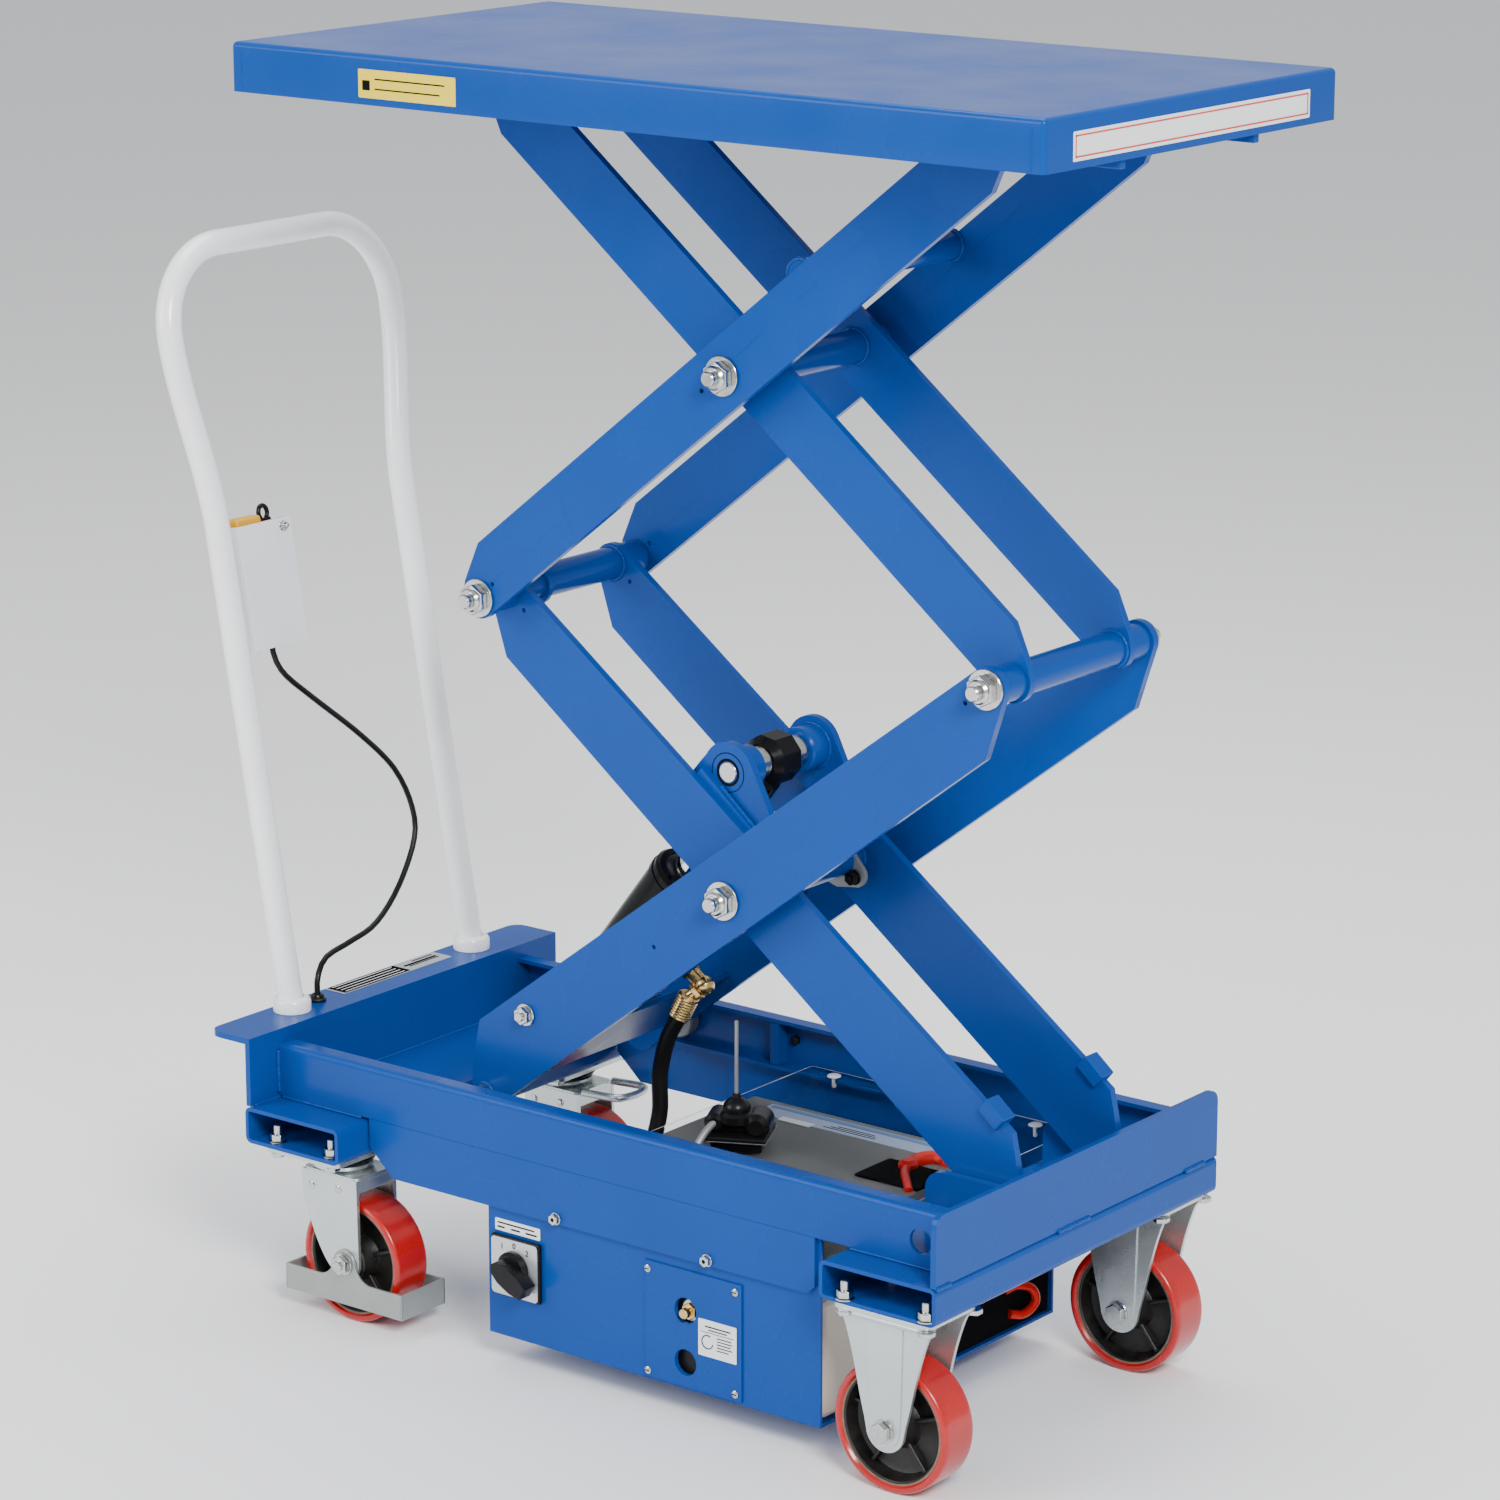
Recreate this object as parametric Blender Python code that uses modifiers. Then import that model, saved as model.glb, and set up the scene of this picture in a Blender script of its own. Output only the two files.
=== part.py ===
"""Battery-powered double scissor lift table, shown raised.

Frame: origin on the floor under the middle of the table, +Z up, +X towards the fixed
casters, -X towards the push handle.  The table is symmetric about y = 0 apart from its
fittings.  Every size below is in millimetres; the helpers turn it into metres.
"""
import math

import bmesh
import bpy
from mathutils import Matrix, Vector

MM = 0.001
GAP = 0.3                       # clearance between pieces that touch
SEGMENTS = 16                   # sides of a round piece
WHEEL_SEGMENTS = 24
SIDES = {"near": -1, "far": 1}  # name of each side and the sign of its y

# Scissor linkage
HALF_ARM = 381.5                # centre pivot to end pivot
ARM_ANGLE = math.radians(39.85)
FIXED_X = 423.0                 # fixed pivots, in the base and under the platform
BASE_PIVOT_Z = 243.5
RISE = 2 * HALF_ARM * math.sin(ARM_ANGLE)
SPAN = 2 * HALF_ARM * math.cos(ARM_ANGLE)
ROLLER_X = FIXED_X - SPAN
CENTRE_X = FIXED_X - SPAN / 2
LOWER_CENTRE_Z = BASE_PIVOT_Z + RISE / 2
MID_Z = BASE_PIVOT_Z + RISE
UPPER_CENTRE_Z = MID_Z + RISE / 2
TOP_PIVOT_Z = MID_Z + RISE
OUTER_PLATE = (113.0, 121.0)    # inner and outer face of an outer arm plate
INNER_PLATE = (75.0, 83.0)
PIN_RADIUS = 10.0
CROSS_TUBE_RADIUS = 16.0
COLLAR_RADIUS = 17.0

# Base frame
BASE_HALF_WIDTH = 191.0
BEAM_X = (-370.7, 444.7)
BEAM_Z = (216.0, 268.5)
SHEET = 4.0
BEAM_FLANGE = 20.0
SKIRT_Z = 160.5
SKIRT_X = (-252.0, 290.0)
TUBE_CORNER = 6.5
CROSS_TUBE_Z = (177.0, 213.5)
SWIVEL_TUBE_X = (-377.0, -255.0)
FIXED_TUBE_X = (322.0, 451.0)
END_WIDTH = 227.0
END_PLATE_X = (445.0, 451.0)
HANDLE_PLATE_X = (-377.0, -371.0)
FLANGE_END_X = -426.0
FLANGE_Z = 282.6
PLATE = 6.0

# Power box under the frame
BOX_X = (-104.0, 294.0)
BOX_Z = (31.0, 215.7)
BOX_HALF_WIDTH = 186.7
BOX_SHEET = 3.0
BOX_END_TOP = 95.0              # top of the wall at the swivel-caster end
DRAIN = (138.0, 58.0)           # holes in the box and its access panel, in X and Z
FITTING = (138.0, 109.0)

# Casters
WHEEL_RADIUS = 62.7
CORE_RADIUS = 54.7
TREAD_HALF_WIDTH = 22.0
SWIVEL_AXIS = (-308.5, 168.0)
TRAIL = 27.5
FIXED_AXLE = (388.8, 187.6)
FORK_FACE = 29.0                # outer face of a fork leg from the wheel's mid plane
FORK_SHEET = 4.0
AXLE_RADIUS = 6.0

# Platform
PLATFORM_X = (-365.0, 549.0)
PLATFORM_HALF_WIDTH = 227.0
PLATFORM_Z = (1204.5, 1250.6)

# Push handle: the tube lies in the plane x = HANDLE_X0 - HANDLE_LEAN * z
HANDLE_X0 = -353.26
HANDLE_LEAN = 0.178
HANDLE_RADIUS = 12.7
HANDLE_FOOT_Y = 135.0
HANDLE_HEAD_Y = 159.0
HANDLE_TOP_Z = 1029.0
HANDLE_CORNER = 82.0
HANDLE_FLARE_Z = (760.0, 947.0)

# Hydraulic cylinder, between the lower outer arms and the ears on the lower inner arms
CYLINDER_FOOT = (-285.0, 34.0)  # in the outer arm's own axes
EAR = (-95.0, 57.5)             # in the inner arm's own axes
BARREL_RADIUS = 34.0
BARREL_TOP = 168.0              # from the foot pivot along the cylinder
BORE_START = 34.0
ROD_RADIUS = 17.0
ROD_INNER_END = 157.0
EYE_HALF_WIDTH = 20.0

# Pendant control in its holder on the handle
HOLDER_Y = (-121.9, -48.0)
HOLDER_BASE_Z = 635.0
HOLDER_HEIGHT = 124.0
HOLDER_DEPTH = (-13.0, 15.0)    # either side of the handle's plane
HOLDER_SHEET = 1.5
CORD_RADIUS = 3.0
CORD_ROUTE = (
    (-468.6, -85, 648), (-466.3, -85, 635), (-464, -84, 622), (-461, -72, 603), (-456, -38, 574),
    (-447, 20, 526), (-440, 62, 483), (-433, 80, 440), (-426, 74, 407), (-419, 40, 365),
    (-414, 0, 338), (-412, -40, 329), (-411, -76, 322), (-407, -93, 308), (-405, -97, 296),
    (-405, -97, 283.6),
)

# Hydraulic hose, from the cylinder's elbow down into the power box
HOSE_RADIUS = 8.0
HOSE_ROUTE = (
    (1, -12, 343), (-8, -15, 323), (-20, -18, 298), (-27, -21, 263), (-24, -25, 228),
    (-25, -33, 200), (-28, -39, 171),
)

PAINT = ("blue paint", (0.004, 0.14, 0.48), 0.3, 0.0)
WHITE = ("white paint", (0.85, 0.86, 0.88), 0.25, 0.0)
ZINC = ("zinc plate", (0.72, 0.73, 0.75), 0.3, 1.0)
CHROME = ("chrome", (0.8, 0.8, 0.82), 0.1, 1.0)
GREY_STEEL = ("grey steel", (0.55, 0.57, 0.58), 0.4, 0.6)
BLACK = ("black plastic", (0.02, 0.02, 0.022), 0.4, 0.0)
IRON = ("black cast iron", (0.02, 0.018, 0.016), 0.5, 0.3)
RED = ("red polyurethane", (0.62, 0.03, 0.03), 0.35, 0.0)
BRASS = ("brass", (0.75, 0.55, 0.25), 0.3, 1.0)
YELLOW = ("yellow plastic", (0.9, 0.6, 0.05), 0.4, 0.0)
BEIGE = ("beige tank", (0.75, 0.72, 0.62), 0.5, 0.0)
GREY = ("grey plastic", (0.45, 0.46, 0.47), 0.5, 0.0)
CLEAR = ("clear sheet", (0.85, 0.9, 0.92), 0.05, 0.0)
PALE = ("pale sheet", (0.75, 0.76, 0.78), 0.35, 0.2)


# ---------------------------------------------------------------- helpers

def start_scene():
    """Empty the scene and make the collections for the parts and for the cutters."""
    for item in list(bpy.data.objects):
        bpy.data.objects.remove(item, do_unlink=True)
    groups = []
    for name in ("scissor lift table", "cutters"):
        group = bpy.data.collections.new(name)
        bpy.context.scene.collection.children.link(group)
        groups.append(group)
    return groups


PARTS, CUTTERS = start_scene()


def finish_of(spec):
    """The Principled material of one finish, made on first use."""
    name, colour, roughness, metallic = spec
    found = bpy.data.materials.get(name)
    if found:
        return found
    made = bpy.data.materials.new(name)
    made.use_nodes = True
    shader = made.node_tree.nodes["Principled BSDF"]
    shader.inputs["Base Color"].default_value = (*colour, 1)
    shader.inputs["Roughness"].default_value = roughness
    shader.inputs["Metallic"].default_value = metallic
    return made


def place(name, data, finish):
    """Link a mesh or curve as a part, or as a cutter where it has no finish."""
    item = bpy.data.objects.new(name, data)
    if finish is None:
        CUTTERS.objects.link(item)
        item.hide_render = True
        item.display_type = "WIRE"
    else:
        PARTS.objects.link(item)
        data.materials.append(finish_of(finish))
    return item


def smooth(mesh):
    mesh.shade_smooth()
    mesh.set_sharp_from_angle(angle=math.radians(35))


def block(name, x, y, z, finish=None, round_edges=0.0):
    """A box between two limits on each axis."""
    low, high = Vector((x[0], y[0], z[0])) * MM, Vector((x[1], y[1], z[1])) * MM
    mesh = bpy.data.meshes.new(name)
    shape = bmesh.new()
    bmesh.ops.create_cube(shape, size=1)
    bmesh.ops.scale(shape, vec=high - low, verts=shape.verts)
    shape.to_mesh(mesh)
    shape.free()
    item = place(name, mesh, finish)
    item.location = (low + high) / 2
    if round_edges:
        bevel = item.modifiers.new("round edges", "BEVEL")
        bevel.width = round_edges * MM
        bevel.segments = 2
    return item


def rod(name, start, end, radius, finish=None, segments=SEGMENTS):
    """A solid cylinder between two points."""
    start, end = Vector(start) * MM, Vector(end) * MM
    mesh = bpy.data.meshes.new(name)
    shape = bmesh.new()
    bmesh.ops.create_cone(shape, cap_ends=True, segments=segments, radius1=radius * MM,
                          radius2=radius * MM, depth=(end - start).length)
    shape.to_mesh(mesh)
    shape.free()
    smooth(mesh)
    item = place(name, mesh, finish)
    item.location = (start + end) / 2
    item.rotation_euler = (end - start).to_track_quat("Z", "Y").to_euler()
    return item


def turned(name, profile, centre, axis, finish=None, closed=False, segments=SEGMENTS):
    """A profile of (radius, height) turned about an axis through the centre."""
    mesh = bpy.data.meshes.new(name)
    shape = bmesh.new()
    points = [shape.verts.new((radius * MM, 0, height * MM)) for radius, height in profile]
    for first, second in zip(points, points[1:]):
        shape.edges.new((first, second))
    if closed:
        shape.edges.new((points[-1], points[0]))
    shape.to_mesh(mesh)
    shape.free()
    item = place(name, mesh, finish)
    item.location = Vector(centre) * MM
    item.rotation_euler = Vector(axis).to_track_quat("Z", "Y").to_euler()
    screw = item.modifiers.new("turn", "SCREW")
    screw.steps = screw.render_steps = segments
    screw.use_merge_vertices = True
    screw.merge_threshold = 0.00001
    screw.use_smooth_shade = False
    return item


def as_mesh(curve_item, finish):
    """Turn a curve into a closed mesh that Boolean modifiers can use."""
    bpy.context.view_layer.update()
    evaluated = curve_item.evaluated_get(bpy.context.evaluated_depsgraph_get())
    mesh = bpy.data.meshes.new_from_object(evaluated)
    shape = bmesh.new()
    shape.from_mesh(mesh)
    bmesh.ops.remove_doubles(shape, verts=shape.verts, dist=0.00001)
    shape.to_mesh(mesh)
    shape.free()
    mesh.materials.clear()
    name = curve_item.name
    matrix = curve_item.matrix_world.copy()
    bpy.data.objects.remove(curve_item, do_unlink=True)
    item = place(name, mesh, finish)
    item.name = name
    item.matrix_world = matrix
    return item


def sheet(name, loops, thickness, matrix, finish=None):
    """A flat outline, with any holes as further loops, given its thickness.

    The outline lies in its own XY plane; the matrix (in millimetres) places it.
    """
    curve = bpy.data.curves.new(name, "CURVE")
    curve.dimensions = "2D"
    curve.fill_mode = "BOTH"
    curve.extrude = thickness / 2 * MM
    for loop in loops:
        spline = curve.splines.new("POLY")
        spline.points.add(len(loop) - 1)
        for point, (x, y) in zip(spline.points, loop):
            point.co = (x * MM, y * MM, 0, 1)
        spline.use_cyclic_u = True
    item = place(name, curve, None)
    placed = matrix.copy()
    placed.translation = matrix.translation * MM
    item.matrix_world = placed
    return as_mesh(item, finish)


def upright(y, origin=(0, 0), tilt=0.0):
    """Placing for an outline drawn in X and Z, at one y, turned about its origin."""
    turn = Matrix.Rotation(-tilt, 4, "Y") @ Matrix.Rotation(math.pi / 2, 4, "X")
    return Matrix.Translation((origin[0], y, origin[1])) @ turn


def section(x):
    """Placing for an outline drawn in Y and Z, at one x."""
    turn = Matrix.Rotation(math.pi / 2, 4, "Z") @ Matrix.Rotation(math.pi / 2, 4, "X")
    return Matrix.Translation((x, 0, 0)) @ turn


def tube(name, points, radius, finish=None, resolution=3):
    """A round tube or wire along a list of points."""
    curve = bpy.data.curves.new(name, "CURVE")
    curve.dimensions = "3D"
    curve.bevel_depth = radius * MM
    curve.bevel_resolution = resolution
    curve.use_fill_caps = True
    spline = curve.splines.new("POLY")
    spline.points.add(len(points) - 1)
    for point, place_mm in zip(spline.points, points):
        point.co = (*(Vector(place_mm) * MM), 1)
    return as_mesh(place(name, curve, None), finish)


def combine(item, tools, operation="UNION"):
    """Join or cut one solid with others."""
    for tool in tools:
        step = item.modifiers.new(tool.name, "BOOLEAN")
        step.operation = operation
        step.object = tool
        step.solver = "EXACT"
    return item


def cut(item, tools):
    return combine(item, tools, "DIFFERENCE")


def arc(centre, radius, start, end, steps=6):
    """Points on an arc, from one angle to another in degrees."""
    points = []
    for step in range(steps + 1):
        angle = math.radians(start + (end - start) * step / steps)
        points.append((centre[0] + radius * math.cos(angle), centre[1] + radius * math.sin(angle)))
    return points


def circle(centre, radius, count=SEGMENTS):
    return arc(centre, radius, 0, 360 - 360 / count, count - 1)


def round_rectangle(x, z, corner):
    """Outline of a rectangle with round corners."""
    outline = arc((x[1] - corner, z[0] + corner), corner, 270, 360, 3)
    outline += arc((x[1] - corner, z[1] - corner), corner, 0, 90, 3)
    outline += arc((x[0] + corner, z[1] - corner), corner, 90, 180, 3)
    return outline + arc((x[0] + corner, z[0] + corner), corner, 180, 270, 3)


def smooth_route(points, spacing):
    """Points at an even spacing on a Catmull-Rom curve through a route."""
    ends = [2 * Vector(points[0]) - Vector(points[1])]
    ends += [Vector(point) for point in points]
    ends.append(2 * Vector(points[-1]) - Vector(points[-2]))
    fine = []
    parts = 12
    for before, first, second, after in zip(ends, ends[1:], ends[2:], ends[3:]):
        for part in range(parts):
            t = part / parts
            fine.append(0.5 * (2 * first + (second - before) * t
                               + (2 * before - 5 * first + 4 * second - after) * t ** 2
                               + (3 * first - before - 3 * second + after) * t ** 3))
    fine.append(ends[-2])
    kept = [fine[0]]
    run = 0.0
    for first, second in zip(fine, fine[1:]):
        run += (second - first).length
        if run >= spacing:
            kept.append(second)
            run = 0.0
    kept[-1] = fine[-1]
    return kept


def joint_empty(name, x, y, z):
    """An empty on a joint's axis, to which the moving pieces are parented."""
    empty = bpy.data.objects.new(name, None)
    empty.location = Vector((x, y, z)) * MM
    PARTS.objects.link(empty)
    return empty


def ride_on(empty, items):
    """Parent the pieces to an empty without moving them."""
    bpy.context.view_layer.update()
    for item in items:
        world = item.matrix_world.copy()
        item.parent = empty
        item.matrix_parent_inverse = empty.matrix_world.inverted()
        item.matrix_world = world


def mirror_y(sign, low, high):
    """The y limits of a piece on one side, from its distances from the mid plane."""
    return tuple(sorted((sign * low, sign * high)))


# ---------------------------------------------------------------- base frame

def side_beam(side, sign):
    """Channel beam, open towards the middle, with a cable hole near its fixed end."""
    web, lip = BASE_HALF_WIDTH, BASE_HALF_WIDTH - BEAM_FLANGE
    low, high = BEAM_Z
    corner = SHEET + 2
    outline = [(lip, low), (web, low), *arc((web - corner, high - corner), corner, 0, 90, 4)]
    outline += [(lip, high), (lip, high - SHEET), (web - SHEET, high - SHEET)]
    outline += [(web - SHEET, low + SHEET), (lip, low + SHEET)]
    loop = [(sign * y, z) for y, z in outline]
    length = BEAM_X[1] - BEAM_X[0]
    beam = sheet(f"side_beam_{side}", [loop], length, section(sum(BEAM_X) / 2), PAINT)
    hole = rod(f"cable hole {side}", (408, sign * (web + 10), 239), (408, sign * (web - 15), 239), 12)
    return cut(beam, [hole])


def side_skirt(side, sign):
    """Flat plate welded under a side beam, with its lower corner cut away."""
    top = BEAM_Z[0] - GAP
    low_x, high_x = SKIRT_X
    outline = [(low_x + 30, SKIRT_Z), (high_x - 8, SKIRT_Z), (high_x, SKIRT_Z + 8),
               (high_x, top), (low_x, top), (low_x, SKIRT_Z + 27)]
    centre_y = sign * (BASE_HALF_WIDTH - SHEET / 2)
    return sheet(f"side_skirt_{side}", [outline], SHEET, upright(centre_y), PAINT)


def cross_tube(name, x, half_width):
    """Open-ended rectangular tube across the frame, over the casters."""
    outer = round_rectangle(x, CROSS_TUBE_Z, TUBE_CORNER)
    inner_x = (x[0] + SHEET, x[1] - SHEET)
    inner_z = (CROSS_TUBE_Z[0] + SHEET, CROSS_TUBE_Z[1] - SHEET)
    inner = round_rectangle(inner_x, inner_z, TUBE_CORNER - SHEET)
    return sheet(name, [outer, inner], 2 * half_width, upright(0), PAINT)


def handle_end_plate():
    """Angle across the handle end: an upright leg and a shelf that carries the handle."""
    low, high = HANDLE_PLATE_X
    shelf_z = (FLANGE_Z - PLATE, FLANGE_Z)
    half = 231.0
    corner = 14.0
    leg = block("handle_end_plate", (low, high), (-half, half), (CROSS_TUBE_Z[1] + GAP, FLANGE_Z), PAINT)
    outline = [(high - 1, -half), (high - 1, half)]
    outline += arc((FLANGE_END_X + corner, half - corner), corner, 90, 180, 4)
    outline += arc((FLANGE_END_X + corner, corner - half), corner, 180, 270, 4)
    shelf = sheet("handle shelf", [outline], PLATE, Matrix.Translation((0, 0, sum(shelf_z) / 2)))
    return combine(leg, [shelf])


def front_end_plate():
    """Upright plate across the fixed-caster end, with rounded top corners."""
    low_z, high_z, corner = CROSS_TUBE_Z[1] + GAP, 281.0, 12.0
    outline = [(-END_WIDTH, low_z), (END_WIDTH, low_z)]
    outline += arc((END_WIDTH - corner, high_z - corner), corner, 0, 90, 4)
    outline += arc((corner - END_WIDTH, high_z - corner), corner, 90, 180, 4)
    return sheet("front_end_plate", [outline], PLATE, section(sum(END_PLATE_X) / 2), PAINT)


def base_bracket(side, sign):
    """Plate that carries one fixed pivot of the lower inner arms."""
    low_z = CROSS_TUBE_Z[1] + GAP
    outline = [(345, low_z), (444, low_z), (444, 268)] + arc((363, 250), 18, 90, 180, 4)
    hole = circle((FIXED_X, BASE_PIVOT_Z), PIN_RADIUS + GAP)
    return sheet(f"base_bracket_{side}", [outline, hole], 8, upright(sign * 94), PAINT)


def power_box():
    """Sheet tray under the frame, open at its top and one end, with a low wall at the other."""
    half = BOX_HALF_WIDTH
    tray = block("power_box", BOX_X, (-half, half), BOX_Z, PAINT)
    inside = block("inside of power box", (BOX_X[0] + BOX_SHEET, BOX_X[1] + 5),
                   (BOX_SHEET - half, half - BOX_SHEET), (BOX_Z[0] + BOX_SHEET, BOX_Z[1] + 5))
    low_end = block("low end of power box", (BOX_X[0] - 5, BOX_X[0] + BOX_SHEET + 1),
                    (BOX_SHEET - half, half - BOX_SHEET), (BOX_END_TOP, BOX_Z[1] + 5))
    drain = rod("drain hole", (DRAIN[0], -half - 5, DRAIN[1]), (DRAIN[0], -half + 10, DRAIN[1]), 13)
    gauge = rod("fitting hole", (FITTING[0], -half - 5, FITTING[1]), (FITTING[0], -half + 10, FITTING[1]), 13)
    return cut(tray, [inside, low_end, drain, gauge])


def access_panel():
    """Screwed-on panel on the front of the power box, with two round holes."""
    panel = block("access_panel", (90, 204), (-BOX_HALF_WIDTH - 2, -BOX_HALF_WIDTH - GAP), (34, 149), PAINT)
    drain = rod("panel drain hole", (DRAIN[0], -200, DRAIN[1]), (DRAIN[0], -180, DRAIN[1]), 13)
    gauge = rod("panel fitting hole", (FITTING[0], -200, FITTING[1]), (FITTING[0], -180, FITTING[1]), 13)
    return cut(panel, [drain, gauge])


def drain_fitting():
    """Brass fitting that shows through the panel's upper hole."""
    face = -BOX_HALF_WIDTH
    profile = [(0, 14), (5, 14), (5, 9), (10, 9), (10, -8), (0, -8)]
    return turned("oil_fitting", profile, (FITTING[0], face + 6, FITTING[1]), (0, -1, 0), BRASS)


def isolator():
    """Isolator switch: a fixed square plate with a rotary knob in front of it."""
    face = -BOX_HALF_WIDTH - GAP
    plate = block("isolator_plate", (-97, -37), (face - 5, face), (74, 134), BLACK, 1.5)
    centre = (-67, 104)
    front = face - 5 - GAP
    disc = rod("isolator_knob", (centre[0], front, centre[1]), (centre[0], front - 7, centre[1]), 19, BLACK)
    bar = block("knob bar", (-6, 6), (-12, 12), (-21, 21))
    bar.location = Vector((centre[0], front - 11.9, centre[1])) * MM
    bar.rotation_euler = (0, math.radians(-60), 0)
    knob = combine(disc, [bar])
    pivot = joint_empty("isolator axis", centre[0], front, centre[1])
    ride_on(pivot, [knob])
    return plate, knob


def box_contents():
    """Battery, hydraulic tank and pump motor in the power box, under a clear cover."""
    floor = BOX_Z[0] + BOX_SHEET + GAP
    block("battery", (-12, 284), (-60, 108), (floor, 210), GREY, 4)
    block("hydraulic_tank", (206, 290), (-178, -90), (floor, 150), BEIGE, 6)
    motor = rod("pump_motor", (-86, -118, 100), (58, -118, 100), 52, BLACK)
    manifold = block("pump manifold", (-80, -16), (-75, 30), (floor, 168))
    combine(motor, [manifold])
    low_z = BEAM_Z[0] + SHEET + GAP
    cover = block("well_cover", (0, 318), (-186, 186), (low_z, low_z + 3), CLEAR)
    opening = block("switch opening", (-26.5, 26.5), (-24.5, 24.5), (200, 240))
    cut(cover, [in_frame(opening, switch_frame())])


def switch_frame():
    """Placing of the limit switch, which is turned on the cover."""
    return Matrix.Translation(Vector((74.5, -25, 0)) * MM) @ Matrix.Rotation(math.radians(27), 4, "Z")


def limit_switch():
    """Switch body through the cover, with a flange, a rubber boot and a thin feeler rod."""
    x, y = -2.0, -8.0
    body = block("limit_switch", (-25, 25), (-23, 23), (213, 224.5), BLACK)
    pieces = [
        block("switch flange", (-30, 30), (-28, 28), (223.6, 227.2)),
        block("switch housing", (-29, 29), (-16, 16), (226, 250)),
        rod("switch boot", (x, y, 248), (x, y, 268), 13),
        rod("feeler", (x, y, 266), (x, y, 340), 1.6, segments=10),
    ]
    frame = switch_frame()
    in_frame(body, frame)
    return combine(body, [in_frame(piece, frame) for piece in pieces])


# ---------------------------------------------------------------- handle and pendant

def handle_point(y, z):
    return (HANDLE_X0 - HANDLE_LEAN * z, y, z)


def handle():
    """Bent tube handle that flares towards its top, on two welded foot collars."""
    half = [(HANDLE_FOOT_Y, FLANGE_Z + GAP + 2)]
    low, high = HANDLE_FLARE_Z
    flare = HANDLE_HEAD_Y - HANDLE_FOOT_Y
    steps = 6
    for step in range(steps):
        t = step / steps
        half.append((HANDLE_FOOT_Y + flare * t * t * (3 - 2 * t), low + (high - low) * t))
    corner = (HANDLE_HEAD_Y - HANDLE_CORNER, HANDLE_TOP_Z - HANDLE_CORNER)
    half += arc(corner, HANDLE_CORNER, 0, 90, 6)
    route = [handle_point(-y, z) for y, z in half]
    route += [handle_point(y, z) for y, z in reversed(half)]
    bar = tube("handle", route, HANDLE_RADIUS, WHITE)
    collars = []
    for side, sign in SIDES.items():
        foot = handle_point(sign * HANDLE_FOOT_Y, FLANGE_Z + GAP)
        top = (foot[0], foot[1], foot[2] + 13)
        collars.append(rod(f"foot collar {side}", foot, top, 19))
    return combine(bar, collars)


def pendant_frame():
    """Placing of the pendant's own axes: X out of its face, Z up along the handle."""
    lean = math.atan(HANDLE_LEAN)
    origin = handle_point(sum(HOLDER_Y) / 2, HOLDER_BASE_Z)
    return Matrix.Translation(Vector(origin) * MM) @ Matrix.Rotation(-lean, 4, "Y")


def in_frame(item, frame):
    """Place a piece drawn in a frame's own axes."""
    item.matrix_world = frame @ Matrix.LocRotScale(item.location, item.rotation_euler, None)
    return item


def pendant_holder(frame):
    """Open-topped sheet pocket with a cord hole in its floor."""
    half = (HOLDER_Y[1] - HOLDER_Y[0]) / 2
    back, front = HOLDER_DEPTH
    shell = in_frame(block("pendant_holder", (back, front), (-half, half), (0, HOLDER_HEIGHT), PALE), frame)
    pocket = block("pocket", (back + HOLDER_SHEET, front - HOLDER_SHEET),
                   (HOLDER_SHEET - half, half - HOLDER_SHEET), (HOLDER_SHEET, HOLDER_HEIGHT + 5))
    hole = rod("pocket cord hole", (0, 0, -5), (0, 0, 5), CORD_RADIUS + 2)
    return cut(shell, [in_frame(pocket, frame), in_frame(hole, frame)])


def pendant(frame):
    """Hand control that lifts out of its pocket, with two push buttons and a hook."""
    half_width, back, front = 30.0, -11.0, 8.0
    low, high = 14.0, 134.0
    body = in_frame(block("pendant", (back, front), (-half_width, half_width), (low, high), YELLOW, 3), frame)
    eye = in_frame(turned("hook eye", [(5, 2), (9, 2), (9, -2), (5, -2)], (-2, 0, high + 6), (1, 0, 0),
                          closed=True), frame)
    combine(body, [eye])
    pieces = [body]
    for name, height in (("up_button", 92.0), ("down_button", 58.0)):
        bore = rod(f"bore of {name}", (front - 5, 0, height), (front + 5, 0, height), 8 + GAP)
        cut(body, [in_frame(bore, frame)])
        button = rod(name, (front - 3, 0, height), (front + 3, 0, height), 8, BLACK)
        pieces.append(in_frame(button, frame))
    slide = joint_empty("pendant slide", *(frame.translation / MM))
    ride_on(slide, pieces)


def pendant_cord():
    """Control cord from the pocket's floor, in a free bow, to its grommet."""
    tube("pendant_cord", smooth_route(CORD_ROUTE, 14), CORD_RADIUS, BLACK, 2)
    bore = CORD_RADIUS + 0.8
    profile = [(bore, 7), (6, 7), (9, 2), (9, 0), (bore, 0)]
    end = CORD_ROUTE[-1]
    turned("cord_grommet", profile, (end[0], end[1], FLANGE_Z + GAP), (0, 0, 1), BLACK, closed=True)


# ---------------------------------------------------------------- casters

def wheel(kind, side, centre):
    """Cast core and polyurethane tread, both turned about the axle."""
    half = TREAD_HALF_WIDTH
    upper = [(AXLE_RADIUS + GAP, 24), (17, 24), (20, 6), (45, 6), (48, 17.5), (CORE_RADIUS, 17.5)]
    core = upper + [(radius, -height) for radius, height in reversed(upper)]
    outer = [(CORE_RADIUS + GAP, half), (59.5, half), (62.2, half - 4), (WHEEL_RADIUS, half - 10)]
    tread = outer + [(radius, -height) for radius, height in reversed(outer)]
    core_item = turned(f"{kind}_core_{side}", core, centre, (0, 1, 0), IRON, True, WHEEL_SEGMENTS)
    tread_item = turned(f"{kind}_tyre_{side}", tread, centre, (0, 1, 0), RED, True, WHEEL_SEGMENTS)
    return [core_item, tread_item]


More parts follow.
